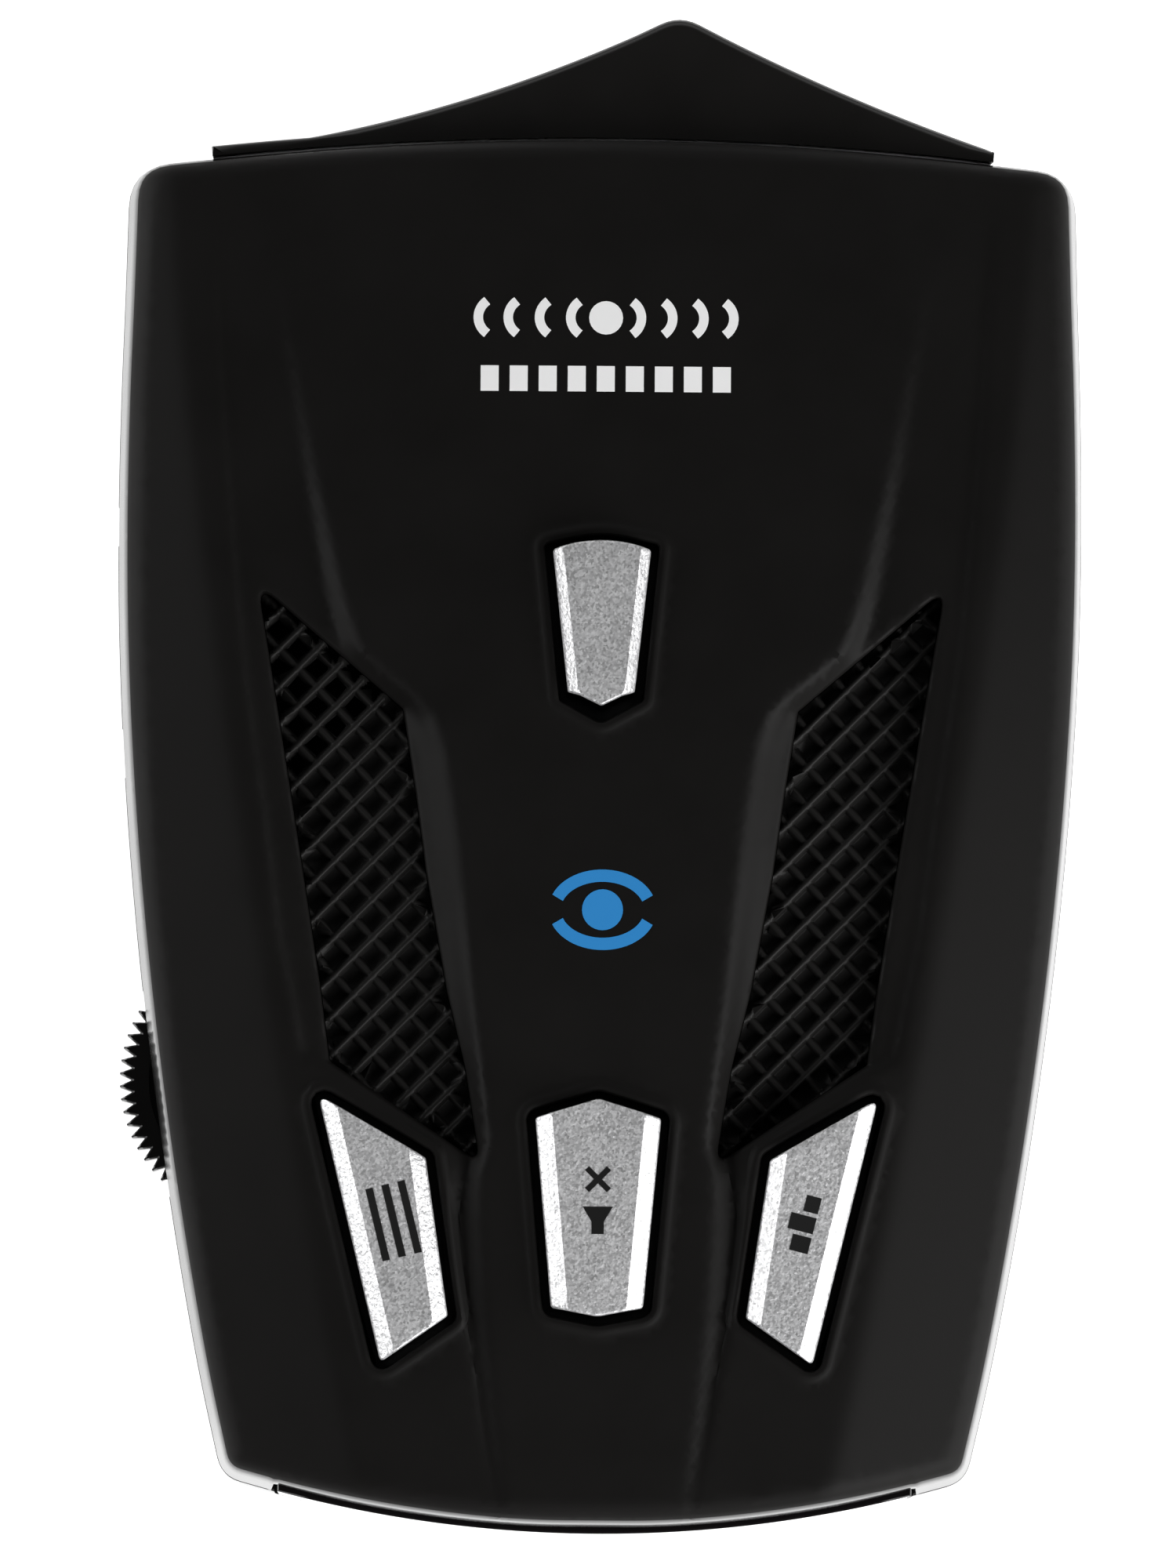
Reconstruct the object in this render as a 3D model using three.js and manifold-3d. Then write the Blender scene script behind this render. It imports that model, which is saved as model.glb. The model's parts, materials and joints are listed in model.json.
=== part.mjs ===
// Radar detector for a car windscreen: a two-shell housing with four top buttons, a volume
// thumbwheel, a display window facing the driver and a laser visor facing the road.
// Millimetres. +Z is up through the cover, +Y points to the road and -X is the jack side.
// The origin is the middle of the underside.

import * as THREE from 'three';
import { mergeVertices } from 'three/addons/utils/BufferGeometryUtils.js';
import Module from 'manifold-3d';

const wasm = await Module();
wasm.setup();

// ---------------------------------------------------------------- driving dimensions

const REAR_Y = -55.4; // display face, on the centre line
const HALF_WIDTH = 35.75; // at the parting line, where the body is widest
const WIDEST_Y = 18;
const FRONT_Y = 48; // front wall, on the centre line
const REAR_RADIUS = 93; // plan radius of the display face

const SPLIT_Z = 15; // parting line between the shells
const SHELL_GAP = 0.15; // each shell stops this far short of the parting line
const WALL = 1.9;
const FLOOR = 2;
const BRIM_INSET = 0.3; // the cover's wall is this much inside the lower shell's

const CREST_Z = 27.6; // top of the cover beside the raised hood
const CREST_Y = -8;
const FRONT_DROP = 4; // fall of the crest line at the front edge
const REAR_DROP = 1.6;
const CROSS_DROP = 1.1; // fall across the cover at 30 mm from the middle
const FLANK_SLOPE = 0.3; // fall per mm outside the shoulder line

const HOOD_RISE = 0.7; // raised centre panel above the flanks
const VALLEY_DEPTH = 1.2; // valleys beside the hood
const COVER_DEPTH = 3; // cover's inside surface below its outside
const HOOD_SKIN = 1.3;

const BOARD_Z = 16; // underside of the main board
const BOARD_THICK = 1.6;
const BOARD_TOP = BOARD_Z + BOARD_THICK;
const SOLDER_GAP = 0.1;

const BUTTON_TRAVEL = 0.5;
const BUTTON_GAP = 0.65; // between a cap and its opening
const CAP_RISE = 1; // cap's top above the surface around it
const CAP_BASE_Z = 22.2;
const SWITCH_SIZE = 6.2;
const SWITCH_TALL = 3.1;
const SWITCH_Z = BOARD_TOP + SOLDER_GAP;
const SWITCH_TOP_Z = SWITCH_Z + SWITCH_TALL;

const WHEEL = { x: -24.95, y: -21.9, radius: 10.4, teeth: 67, tooth: 0.87, bottom: 10.2, thick: 3 };
const SOCKET_Z = 12.2;
const POWER_SOCKET_Y = 2.2;
const AUDIO_SOCKET_Y = 19.05;
const LASER = { x: 5.2, y: 39, z: 18.4, radius: 3.4 };
const SPEAKER = { x: -20.5, y: 5.5, radius: 10 };
const HORN = { bottom: 4.2, top: 13.2, lid: 1.2, skin: 1.2 };

const WINDOW = { half: 23.3, bottom: 5.5, top: 20.6, thick: 1.5 };
const BRACKET = { width: 24, tall: 5, bottom: 3.4 }; // slot for the windscreen bracket
const VISOR = { left: -29, right: 28.9, peak: 5.6, bottom: 9, top: 21.4, wall: 2 };
const LATTICE = { pitch: 2, cell: 1.45, deep: 1.2, plate: 1.8, top: -1.8, centre: [20.85, 5.15] };

const CASE_SCREWS = [[28.2, 32.5], [-28.2, 32.5], [22.3, -43.3], [-22.3, -43.3]];
const BOARD_SCREWS = [[24, 25], [-24, 25], [25.2, -10], [-25.2, -10]];
const HORN_SCREWS = [[13.5, 15], [-13.5, 15], [18.8, 35], [-18.8, 35]];

// ---------------------------------------------------------------- solids from geometry

function solidOf(geometry) {
  const bare = geometry.clone();
  bare.deleteAttribute('normal');
  bare.deleteAttribute('uv');
  const merged = mergeVertices(bare, 1e-4);
  const corners = merged.index.array;
  const triangles = [];
  for (let i = 0; i < corners.length; i += 3) {
    const [a, b, c] = corners.slice(i, i + 3);
    if (a !== b && b !== c && c !== a) triangles.push(a, b, c);
  }
  const mesh = new wasm.Mesh({
    numProp: 3,
    vertProperties: new Float32Array(merged.attributes.position.array),
    triVerts: new Uint32Array(triangles),
  });
  return new wasm.Manifold(mesh);
}

function geometryOf(solid) {
  const { vertProperties, triVerts } = solid.getMesh();
  const geometry = new THREE.BufferGeometry();
  geometry.setAttribute('position', new THREE.BufferAttribute(new Float32Array(vertProperties), 3));
  geometry.setIndex(new THREE.BufferAttribute(new Uint32Array(triVerts), 1));
  geometry.computeVertexNormals();
  return geometry;
}

// A closed plan outline from corners [x, y, radius]; a corner without a radius stays sharp.
function outlineShape(corners) {
  const shape = new THREE.Shape();
  corners.forEach(([x, y, radius = 0], i) => {
    const corner = new THREE.Vector2(x, y);
    const before = corners.at(i - 1);
    const after = corners[(i + 1) % corners.length];
    const back = new THREE.Vector2(before[0] - x, before[1] - y).normalize();
    const ahead = new THREE.Vector2(after[0] - x, after[1] - y).normalize();
    const halfAngle = Math.acos(THREE.MathUtils.clamp(back.dot(ahead), -1, 1)) / 2;
    const reach = radius / Math.tan(halfAngle);
    const start = corner.clone().addScaledVector(back, reach);
    const end = corner.clone().addScaledVector(ahead, reach);
    if (i === 0) shape.moveTo(start.x, start.y);
    else shape.lineTo(start.x, start.y);
    if (radius > 0) shape.quadraticCurveTo(x, y, end.x, end.y);
  });
  shape.closePath();
  return shape;
}

// The same corners moved outwards by a distance. They run anticlockwise.
function offsetCorners(corners, distance) {
  return corners.map(([x, y, radius = 0], i) => {
    const before = corners.at(i - 1);
    const after = corners[(i + 1) % corners.length];
    const into = new THREE.Vector2(x - before[0], y - before[1]).normalize();
    const out = new THREE.Vector2(after[0] - x, after[1] - y).normalize();
    const normal = new THREE.Vector2(into.y + out.y, -into.x - out.x).normalize();
    const stretch = distance / Math.max(0.3, normal.dot(new THREE.Vector2(into.y, -into.x)));
    const grown = radius > 0 ? Math.max(0.2, radius + distance) : 0;
    return [x + normal.x * stretch, y + normal.y * stretch, grown];
  });
}

const mirrored = (corners) => corners.map(([x, y, radius]) => [-x, y, radius]).reverse();

function prism(corners, bottom, top, bevel = 0) {
  const geometry = new THREE.ExtrudeGeometry(outlineShape(corners), {
    depth: top - bottom - 2 * bevel,
    bevelEnabled: bevel > 0,
    bevelThickness: bevel,
    bevelSize: bevel,
    bevelOffset: -bevel,
    bevelSegments: 2,
    curveSegments: 4,
  });
  geometry.translate(0, 0, bottom + bevel);
  return solidOf(geometry);
}

function block(x, y, bottom, width, depth, tall) {
  const geometry = new THREE.BoxGeometry(width, depth, tall);
  geometry.translate(x, y, bottom + tall / 2);
  return solidOf(geometry);
}

function disc(x, y, bottom, top, radius, sides = 20) {
  const geometry = new THREE.CylinderGeometry(radius, radius, top - bottom, sides);
  geometry.rotateX(Math.PI / 2);
  geometry.translate(x, y, (bottom + top) / 2);
  return solidOf(geometry);
}

// A cylinder lying along X.
function rod(fromX, toX, y, z, radius, sides = 20) {
  const geometry = new THREE.CylinderGeometry(radius, radius, Math.abs(toX - fromX), sides);
  geometry.rotateZ(Math.PI / 2);
  geometry.translate((fromX + toX) / 2, y, z);
  return solidOf(geometry);
}

// A turned part about Z from [radius, z] pairs.
function turned(profile, sides = 20) {
  const points = profile.map(([radius, z]) => new THREE.Vector2(radius, z));
  const geometry = new THREE.LatheGeometry(points, sides);
  geometry.rotateX(Math.PI / 2);
  return solidOf(geometry);
}

// A block whose underside and top follow height functions of x and y.
function slab(low, high, cellsX = 1, cellsY = 1) {
  const geometry = new THREE.BoxGeometry(90, 130, 1, cellsX, cellsY, 1);
  const position = geometry.attributes.position;
  for (let i = 0; i < position.count; i += 1) {
    const height = position.getZ(i) > 0 ? high : low;
    position.setZ(i, height(position.getX(i), position.getY(i)));
  }
  return solidOf(geometry);
}

const union = (solids) => solids.reduce((joined, next) => joined.add(next));

// ---------------------------------------------------------------- body surfaces

function sideX(y) {
  if (y > WIDEST_Y) return HALF_WIDTH - 0.0012 * (y - WIDEST_Y) ** 2;
  return HALF_WIDTH - 0.00318 * (WIDEST_Y - y) ** 1.85;
}
const frontY = (x) => FRONT_Y - 0.00193 * x * x;
const rearY = (x) => REAR_Y + REAR_RADIUS - Math.sqrt(REAR_RADIUS ** 2 - x * x);

function bodyOutline(grow) {
  const right = [[0, REAR_Y], [8, rearY(8)], [16, rearY(16)], [22, rearY(22)], [27.5, rearY(27.5), 2]];
  for (let y = -44; y <= 36; y += 10) right.push([sideX(y), y]);
  right.push([35.1, 45.8, 3], [26, frontY(26)], [17, frontY(17)], [8, frontY(8)]);
  const left = right.slice(1).map(([x, y, radius]) => [-x, y, radius]).reverse();
  return offsetCorners([...right, [0, FRONT_Y], ...left], grow);
}

const shoulderX = (y) => 31.8 - 0.0264 * Math.max(0, 46 - y) ** 1.377;

function crownZ(x, y) {
  const run = y > CREST_Y ? 55 : 47;
  const drop = y > CREST_Y ? FRONT_DROP : REAR_DROP;
  const beyond = Math.max(0, Math.abs(x) - shoulderX(y));
  return CREST_Z - drop * ((y - CREST_Y) / run) ** 2 - CROSS_DROP * (x / 30) ** 2 - FLANK_SLOPE * beyond;
}

const under = (lift, cellsX = 16, cellsY = 20) =>
  slab(() => 0, (x, y) => crownZ(x, y) + lift, cellsX, cellsY);
const above = (lift, cellsX = 16, cellsY = 20) =>
  slab((x, y) => crownZ(x, y) + lift, () => 60, cellsX, cellsY);

// Plan outlines on the cover. Each is written for the +X side.
const HOOD = [[6.8, -53], [8.15, -43.7], [9.4, -31], [8, -27.3], [9.1, -16.5], [10.2, -4],
  [11.2, 2.7, 1], [18.4, 9.3, 1], [20.7, 17.5], [22.7, 29], [24.2, 38.5, 2], [24.6, 44.6]];
const VALLEY = [[8.6, -28.4, 0.7], [20.8, -20.6, 0.8], [23.3, -11.8], [25.1, 1.5], [26.9, 17.2],
  [28, 31], [28.5, 42.2], [24.4, 38.5], [22.8, 29], [20.8, 17.5], [18.5, 9.2], [11.4, 2.7, 0.5],
  [10.4, -4], [9.3, -16.5]];
const GRILLE = [[8.6, -28.4, 0.6], [19.7, -21, 0.5], [20.4, -15.6], [22.3, -3.7], [24.4, 9],
  [25.3, 14.2, 0.7], [14.5, 5, 0.4], [13.5, -1.3], [12.7, -7.1], [11.1, -15.9], [9.75, -21.3]];

const BUTTONS = {
  power: {
    rise: HOOD_RISE + CAP_RISE,
    facet: 0.75,
    post: [0, 10.9],
    corners: [[-2.45, 6.15, 0.2], [-1.57, 5.87], [0, 5.1, 0.3], [1.57, 5.87], [2.45, 6.15, 0.2],
      [3.6, 16.63, 0.3], [1.8, 17.15], [0, 17.3], [-1.8, 17.15], [-3.6, 16.63, 0.3]],
    sides: [[[2.45, 6.15], [3.6, 16.63]], [[-3.6, 16.63], [-2.45, 6.15]]],
    opening: [[-3.1, 5.5, 0.4], [0, 3.8, 1], [3.1, 5.5, 0.4], [4.25, 17.1, 0.5], [2, 17.8],
      [0, 18], [-2, 17.8], [-4.25, 17.1, 0.5]],
  },
  mute: {
    rise: HOOD_RISE + CAP_RISE,
    facet: 1.22,
    post: [0, -32],
    corners: [[-3.36, -38.95, 0.3], [0, -39.6], [3.36, -38.95, 0.3], [4.6, -25.1, 0.3],
      [2.4, -24.1], [0, -23.7], [-2.4, -24.1], [-4.6, -25.1, 0.3]],
    sides: [[[3.36, -38.95], [4.6, -25.1]], [[-4.6, -25.1], [-3.36, -38.95]]],
  },
  city: {
    rise: CAP_RISE,
    facet: 1.15,
    post: [15.2, -33.6],
    corners: [[10.9, -39.6, 0.3], [15.8, -43, 0.3], [20.5, -23.5, 0.4], [12.6, -28.05, 0.3]],
    sides: [[[15.8, -43], [20.5, -23.5]], [[12.6, -28.05], [10.9, -39.6]]],
  },
};
BUTTONS.menu = {
  ...BUTTONS.city,
  post: [-BUTTONS.city.post[0], BUTTONS.city.post[1]],
  corners: mirrored(BUTTONS.city.corners),
  sides: BUTTONS.city.sides.map(([from, to]) => [[-to[0], to[1]], [-from[0], from[1]]]),
};

// ---------------------------------------------------------------- housing

function screwBoss(x, y, bottom, top, radius) {
  return disc(x, y, bottom, top, radius, 16);
}

function windowOpening(clearance) {
  return block(0, REAR_Y, WINDOW.bottom - clearance, 2 * (WINDOW.half + clearance), 12,
    WINDOW.top - WINDOW.bottom + 2 * clearance);
}

function topCover() {
  const bottom = SPLIT_Z + SHELL_GAP;
  const wall = prism(bodyOutline(-BRIM_INSET), bottom, 40).intersect(under(0));
  const hood = prism([...HOOD, ...mirrored(HOOD)], bottom, 40).intersect(under(HOOD_RISE));
  const hollow = prism(bodyOutline(-BRIM_INSET - WALL), 0, 40).intersect(under(-COVER_DEPTH, 12, 16));
  const hoodInside = [[-5.5, -50], [5.5, -50], [6.5, 1.5], [19, 40], [-19, 40], [-6.5, 1.5]];
  const hoodHollow = prism(hoodInside, 0, 40).intersect(under(HOOD_RISE - HOOD_SKIN - 1, 12, 16));
  let cover = wall.add(hood);
  for (const side of [VALLEY, mirrored(VALLEY)]) {
    cover = cover.subtract(prism(side, 18, 40).intersect(above(-VALLEY_DEPTH)));
  }
  cover = cover.subtract(hollow).subtract(hoodHollow);
  const inside = under(-1, 6, 8);
  for (const [x, y] of CASE_SCREWS) {
    cover = cover.add(screwBoss(x, y, bottom, 30, 3.2).intersect(inside));
    cover = cover.subtract(disc(x, y, 0, 21.5, 1.35, 12));
  }
  for (const [x, y] of BOARD_SCREWS) {
    cover = cover.add(screwBoss(x, y, BOARD_TOP + SOLDER_GAP, 30, 2.3).intersect(inside));
    cover = cover.subtract(disc(x, y, 0, 21.5, 1.05, 12));
  }
  for (const { corners, opening = offsetCorners(corners, BUTTON_GAP) } of Object.values(BUTTONS)) {
    cover = cover.subtract(prism(opening, 20, 40));
  }
  for (const side of [GRILLE, mirrored(GRILLE)]) cover = cover.subtract(prism(side, 18, 40));
  cover = cover.subtract(windowOpening(0.3));
  return cover.subtract(block(LASER.x, FRONT_Y - 1, bottom - 1, 13, 8, 7.5));
}

function bottomCover() {
  const top = SPLIT_Z - SHELL_GAP;
  const outer = prism(bodyOutline(0), 0, top + 1.6, 1.6).intersect(block(0, 0, -1, 90, 130, top + 1));
  const hollow = prism(bodyOutline(-WALL), FLOOR, top + 2);
  let shell = outer.subtract(hollow);
  for (const [x, y] of CASE_SCREWS) {
    shell = shell.add(screwBoss(x, y, 1, top, 3.4));
    shell = shell.subtract(disc(x, y, -1, 4, 2.7, 16)).subtract(disc(x, y, -1, top + 1, 1.5, 12));
  }
  const ribs = [[-20, 8, 1.2, 26], [20, 8, 1.2, 26], [0, -30, 30, 1.2], [0, -12, 30, 1.2]];
  for (const [x, y, width, depth] of ribs) shell = shell.add(block(x, y, 1, width, depth, 3));
  shell = shell.subtract(disc(WHEEL.x, WHEEL.y, WHEEL.bottom - 0.5, top + 1, WHEEL.radius + 0.5, 40));
  shell = shell.subtract(rod(-40, -30, POWER_SOCKET_Y, SOCKET_Z, 3.1));
  shell = shell.subtract(rod(-40, -30, AUDIO_SOCKET_Y, SOCKET_Z, 2.9));
  shell = shell.subtract(windowOpening(0.3));
  shell = shell.subtract(block(0, FRONT_Y, BRACKET.bottom, BRACKET.width, 8, BRACKET.tall));
  const label = [[-17, -36, 1.5], [17, -36, 1.5], [17, -10, 1.5], [-17, -10, 1.5]];
  return shell.subtract(prism(label, -1, 0.3));
}

const visorLeftY = (x) => 46.65 + 0.14 * (x + 27) + 0.0054 * (x + 27) ** 2;
const visorRightY = (x) => 46.45 + 0.345 * (28.2 - x) + 0.0054 * (28.2 - x) ** 2;

// The visor's front edge, pulled back by an inset, from its right end to its left end.
function visorEdge(from, to, inset) {
  const edge = [];
  const steps = 5;
  for (let i = 0; i < steps; i += 1) {
    const x = from + (i / steps) * (VISOR.peak - from);
    edge.push([x, visorRightY(x) - inset]);
  }
  edge.push([VISOR.peak, visorRightY(VISOR.peak) - inset, 3.2]);
  for (let i = 1; i <= steps; i += 1) {
    const x = VISOR.peak + (i / steps) * (to - VISOR.peak);
    edge.push([x, visorLeftY(x) - inset]);
  }
  return edge;
}

function frontVisor() {
  const outline = [[VISOR.left, 44], [VISOR.right, 44], [VISOR.right, 46.2],
    ...visorEdge(28.2, -27, 0), [VISOR.left, 46.6]];
  const inside = [[-12, 40], [21, 40], ...visorEdge(20.5, -11.5, VISOR.wall + 0.4)];
  const cavity = prism(inside, VISOR.bottom + VISOR.wall, VISOR.top - VISOR.wall);
  return prism(outline, VISOR.bottom, VISOR.top, 0.8)
    .subtract(cavity)
    .subtract(prism(bodyOutline(0.3), 0, 40));
}

function displayWindow() {
  const pane = prism(bodyOutline(0), WINDOW.bottom, WINDOW.top).subtract(
    prism(bodyOutline(-WINDOW.thick), 0, 40));
  return pane.intersect(block(0, REAR_Y, 0, 2 * WINDOW.half, 20, 40));
}

// Diamond lattice: square cells on a 45 degree grid, blind except over the speaker.
const isOpenCell = (x, y) => x < 0 && x - y < -21.8;

function latticeCells(outline, side) {
  const field = offsetCorners(outline, -0.5);
  const cells = [];
  for (let i = -22; i <= 22; i += 1) {
    for (let j = -22; j <= 22; j += 1) {
      const x = side * LATTICE.centre[0] + ((i - j) * LATTICE.pitch) / Math.SQRT2;
      const y = LATTICE.centre[1] + ((i + j) * LATTICE.pitch) / Math.SQRT2;
      if (insideField([x, y], field)) cells.push([x, y]);
    }
  }
  return cells;
}

function insideField([x, y], corners) {
  let inside = false;
  corners.forEach(([ax, ay], i) => {
    const [bx, by] = corners[(i + 1) % corners.length];
    if (ay > y !== by > y && x < ((bx - ax) * (y - ay)) / (by - ay) + ax) inside = !inside;
  });
  return inside;
}

function grille(side) {
  const outline = side > 0 ? GRILLE : mirrored(GRILLE);
  const body = offsetCorners(outline, -0.3);
  const low = LATTICE.top - LATTICE.plate;
  const plate = prism(body, 15, 40).intersect(
    slab((x, y) => crownZ(x, y) + low, (x, y) => crownZ(x, y) + LATTICE.top, 8, 12));
  const half = LATTICE.cell / Math.SQRT2;
  const pockets = latticeCells(body, side).map(([x, y]) => {
    const floor = isOpenCell(x, y) ? 15 : crownZ(x, y) + LATTICE.top - LATTICE.deep;
    return prism([[x - half, y], [x, y - half], [x + half, y], [x, y + half]], floor, 40);
  });
  return plate.subtract(union(pockets));
}

// ---------------------------------------------------------------- buttons and switches

// Everything above a plane that meets the top of a cap one facet in from an edge and falls outwards.
function facetCut([from, to], facet, rise) {
  const along = new THREE.Vector2(to[0] - from[0], to[1] - from[1]).normalize();
  const topZ = crownZ((from[0] + to[0]) / 2, (from[1] + to[1]) / 2) + rise;
  const fall = 0.9;
  const plane = (x, y) => {
    const inward = (y - from[1]) * along.x - (x - from[0]) * along.y;
    return topZ + fall * (inward / facet - 1);
  };
  return slab(plane, () => 400);
}

function buttonCap({ corners, sides, facet, rise, post }) {
  let cap = prism(corners, CAP_BASE_Z, 40).intersect(under(rise, 10, 14));
  for (const side of sides) cap = cap.subtract(facetCut(side, facet, rise));
  const flange = prism(offsetCorners(corners, 1.3), CAP_BASE_Z, CAP_BASE_Z + 0.6);
  const hollow = prism(offsetCorners(corners, -1.2), 0, 40).intersect(under(rise - 2.1, 6, 8));
  const stem = disc(...post, SWITCH_TOP_Z + 1.2, 40, 1.6, 12).intersect(under(rise - 1, 4, 4));
  return cap.add(flange).subtract(hollow).add(stem);
}

function switchBody() {
  const half = SWITCH_SIZE / 2;
  const outline = [[-half, -half, 0.5], [half, -half, 0.5], [half, half, 0.5], [-half, half, 0.5]];
  return prism(outline, 0, SWITCH_TALL).subtract(disc(0, 0, 0.8, 10, 2, 16));
}

function switchPlunger() {
  return disc(0, 0, 0.8 + BUTTON_TRAVEL + 0.2, SWITCH_TALL + 1.15, 1.7, 16);
}

// ---------------------------------------------------------------- volume thumbwheel

function thumbwheel() {
  const root = WHEEL.radius - WHEEL.tooth;
  const rim = [];
  for (let i = 0; i < WHEEL.teeth; i += 1) {
    const tip = (i / WHEEL.teeth) * 2 * Math.PI;
    const gap = ((i + 0.5) / WHEEL.teeth) * 2 * Math.PI;
    rim.push([WHEEL.radius * Math.cos(tip), WHEEL.radius * Math.sin(tip)]);
    rim.push([root * Math.cos(gap), root * Math.sin(gap)]);
  }
  return prism(rim, 0, WHEEL.thick)
    .subtract(disc(0, 0, -1, 0.8, 7.6, 32))
    .subtract(disc(0, 0, -1, 10, 2.05, 16));
}

// ---------------------------------------------------------------- boards and electronics

function mainBoard() {
  const edge = (y) => sideX(y) - 5.4;
  const right = [[19, -47, 1], [19, -39.5, 1], [edge(-39.5), -39.5, 1]];
  for (let y = -25; y <= 20; y += 15) right.push([edge(y), y]);
  right.push([edge(31), 27.8, 1], [LASER.x + 5, 27.8], [LASER.x + 5, 34, 1]);
  const left = [[LASER.x - 5, 34, 1], [LASER.x - 5, 27.8], [-edge(31), 27.8, 1]];
  for (let y = 20; y >= -25; y -= 15) left.push([-edge(y), y]);
  left.push([-edge(-39.5), -39.5, 1], [-19, -39.5, 1], [-19, -47, 1]);
  let board = prism([...right, ...left], BOARD_Z, BOARD_TOP);
  for (const [x, y] of BOARD_SCREWS) board = board.subtract(disc(x, y, 0, 40, 1.4, 12));
  return board;
}

// The microwave horn: an open tray that widens towards the road, closed by its lid.
const hornPlan = (inset) => [[-21.5 + inset, 39.5], [-9 + inset, 10 + inset], [9 - inset, 10 + inset],
  [21.5 - inset, 39.5]];

function hornTray() {
  const cavity = prism([[-16.5, 41], [-5.5, 14], [5.5, 14], [16.5, 41]], HORN.bottom + HORN.skin, 40);
  let tray = prism(hornPlan(0), HORN.bottom, HORN.top).subtract(cavity);
  for (const [x, y] of HORN_SCREWS) {
    tray = tray.add(disc(x, y, HORN.bottom, HORN.top, 2.4, 12));
  }
  tray = tray.subtract(cavity);
  for (const [x, y] of HORN_SCREWS) tray = tray.subtract(disc(x, y, HORN.top - 5, 40, 0.95, 10));
  return tray;
}

function hornLid() {
  let lid = prism(hornPlan(0), HORN.top, HORN.top + HORN.lid);
  for (const [x, y] of HORN_SCREWS) lid = lid.add(disc(x, y, HORN.top, HORN.top + HORN.lid, 2.4, 12));
  for (const [x, y] of HORN_SCREWS) lid = lid.subtract(disc(x, y, 0, 40, 1.1, 10));
  return lid.subtract(block(0, 20, 0, 3, 1, 40));
}

function laserLens() {
  const { radius } = LASER;
  const profile = [[0, -1.6], [radius * 0.6, -1.2], [radius, -0.4], [radius, 0.4],
    [radius * 0.6, 1.2], [0, 1.6]];
  return turned(profile, 20);
}

function speakerFrame() {
  const r = SPEAKER.radius;
  return turned([[3, 0], [r - 1.6, 0], [r, 1.4], [r, 3.9], [r - 0.8, 3.9], [r - 0.8, 1.8],
    [r - 1.9, 0.6], [3, 0.6], [3, 0]], 20);
}

function speakerCone() {
  const r = SPEAKER.radius - 1;
  return turned([[0, 3], [2.6, 2.6], [3, 2.3], [7, 3.1], [r, 3.4], [r, 3.6], [7, 3.4],
    [3, 2.6], [2.6, 2.9], [0, 3.3]], 18);
}

const speakerGasket = () => turned([[8.8, 0], [10, 0], [10, 0.4], [8.8, 0.4], [8.8, 0]], 20);

function screw(headRadius, headTall, shankRadius, length) {
  const profile = [[0, -headTall], [headRadius * 0.85, -headTall], [headRadius, 0], [shankRadius, 0],
    [shankRadius, length - 1], [0, length]];
  const slot = headRadius * 1.1;
  const cross = block(0, 0, -headTall - 1, slot, 0.5, 1.6).add(block(0, 0, -headTall - 1, 0.5, slot, 1.6));
  return turned(profile, 10).subtract(cross);
}

function socket(width, depth, tall, barrel, bore) {
  const body = block(width / 2, 0, -tall / 2, width, depth, tall).add(rod(-1.2, 1, 0, 0, barrel));
  return body.subtract(rod(-3, width - 3, 0, 0, bore, 16));
}

// ---------------------------------------------------------------- looks

const look = (color, roughness, metalness = 0, opacity = 1) =>
  new THREE.MeshStandardMaterial({ color, roughness, metalness, opacity, transparent: opacity < 1 });

const softBlack = look(0x171615, 0.55);
const mouldedBlack = look(0x1c1c1c, 0.6);
const glossBlack = look(0x08080a, 0.08);
const smokedClear = look(0x0d0b0c, 0.05, 0, 0.7);
const silverPaint = look(0x9c9da0, 0.4, 0.6);
const boardGreen = look(0x1f5a3a, 0.5);
const castZinc = look(0xa8abae, 0.45, 0.9);
const steel = look(0xb9bcc0, 0.3, 1);
const chipBlack = look(0x202124, 0.5);
const clearLens = look(0x8a1016, 0.05, 0, 0.6);
const paper = look(0x2a2826, 0.9);
const foam = look(0x101010, 0.95);
const switchSteel = look(0xc4c6c8, 0.35, 1);
const canAluminium = look(0xc9cbce, 0.35, 0.9);

// ---------------------------------------------------------------- assembly

const detector = new THREE.Group();
detector.name = 'radar_detector';

function place(name, solid, material, position = [0, 0, 0], rotation = [0, 0, 0], parent = detector) {
  const mesh = new THREE.Mesh(geometryOf(solid), material);
  mesh.name = name;
  mesh.position.set(...position);
  mesh.rotation.set(...rotation);
  parent.add(mesh);
}

place('top_cover', topCover(), softBlack);
place('bottom_cover', bottomCover(), mouldedBlack);
place('front_visor', frontVisor(), glossBlack);
place('display_window', displayWindow(), smokedClear);
place('grille_right', grille(1), mouldedBlack);
place('grille_left', grille(-1), mouldedBlack);

for (const [name, button] of Object.entries(BUTTONS)) {
  const site = new THREE.Group();
  site.position.set(...button.post, SWITCH_Z);
  detector.add(site);
  place(`button_${name}`, buttonCap(button), silverPaint);
  place(`switch_${name}`, switchBody(), switchSteel, [0, 0, 0], [0, 0, 0], site);
  place(`plunger_${name}`, switchPlunger(), chipBlack, [0, 0, 0], [0, 0, 0], site);
}

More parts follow.
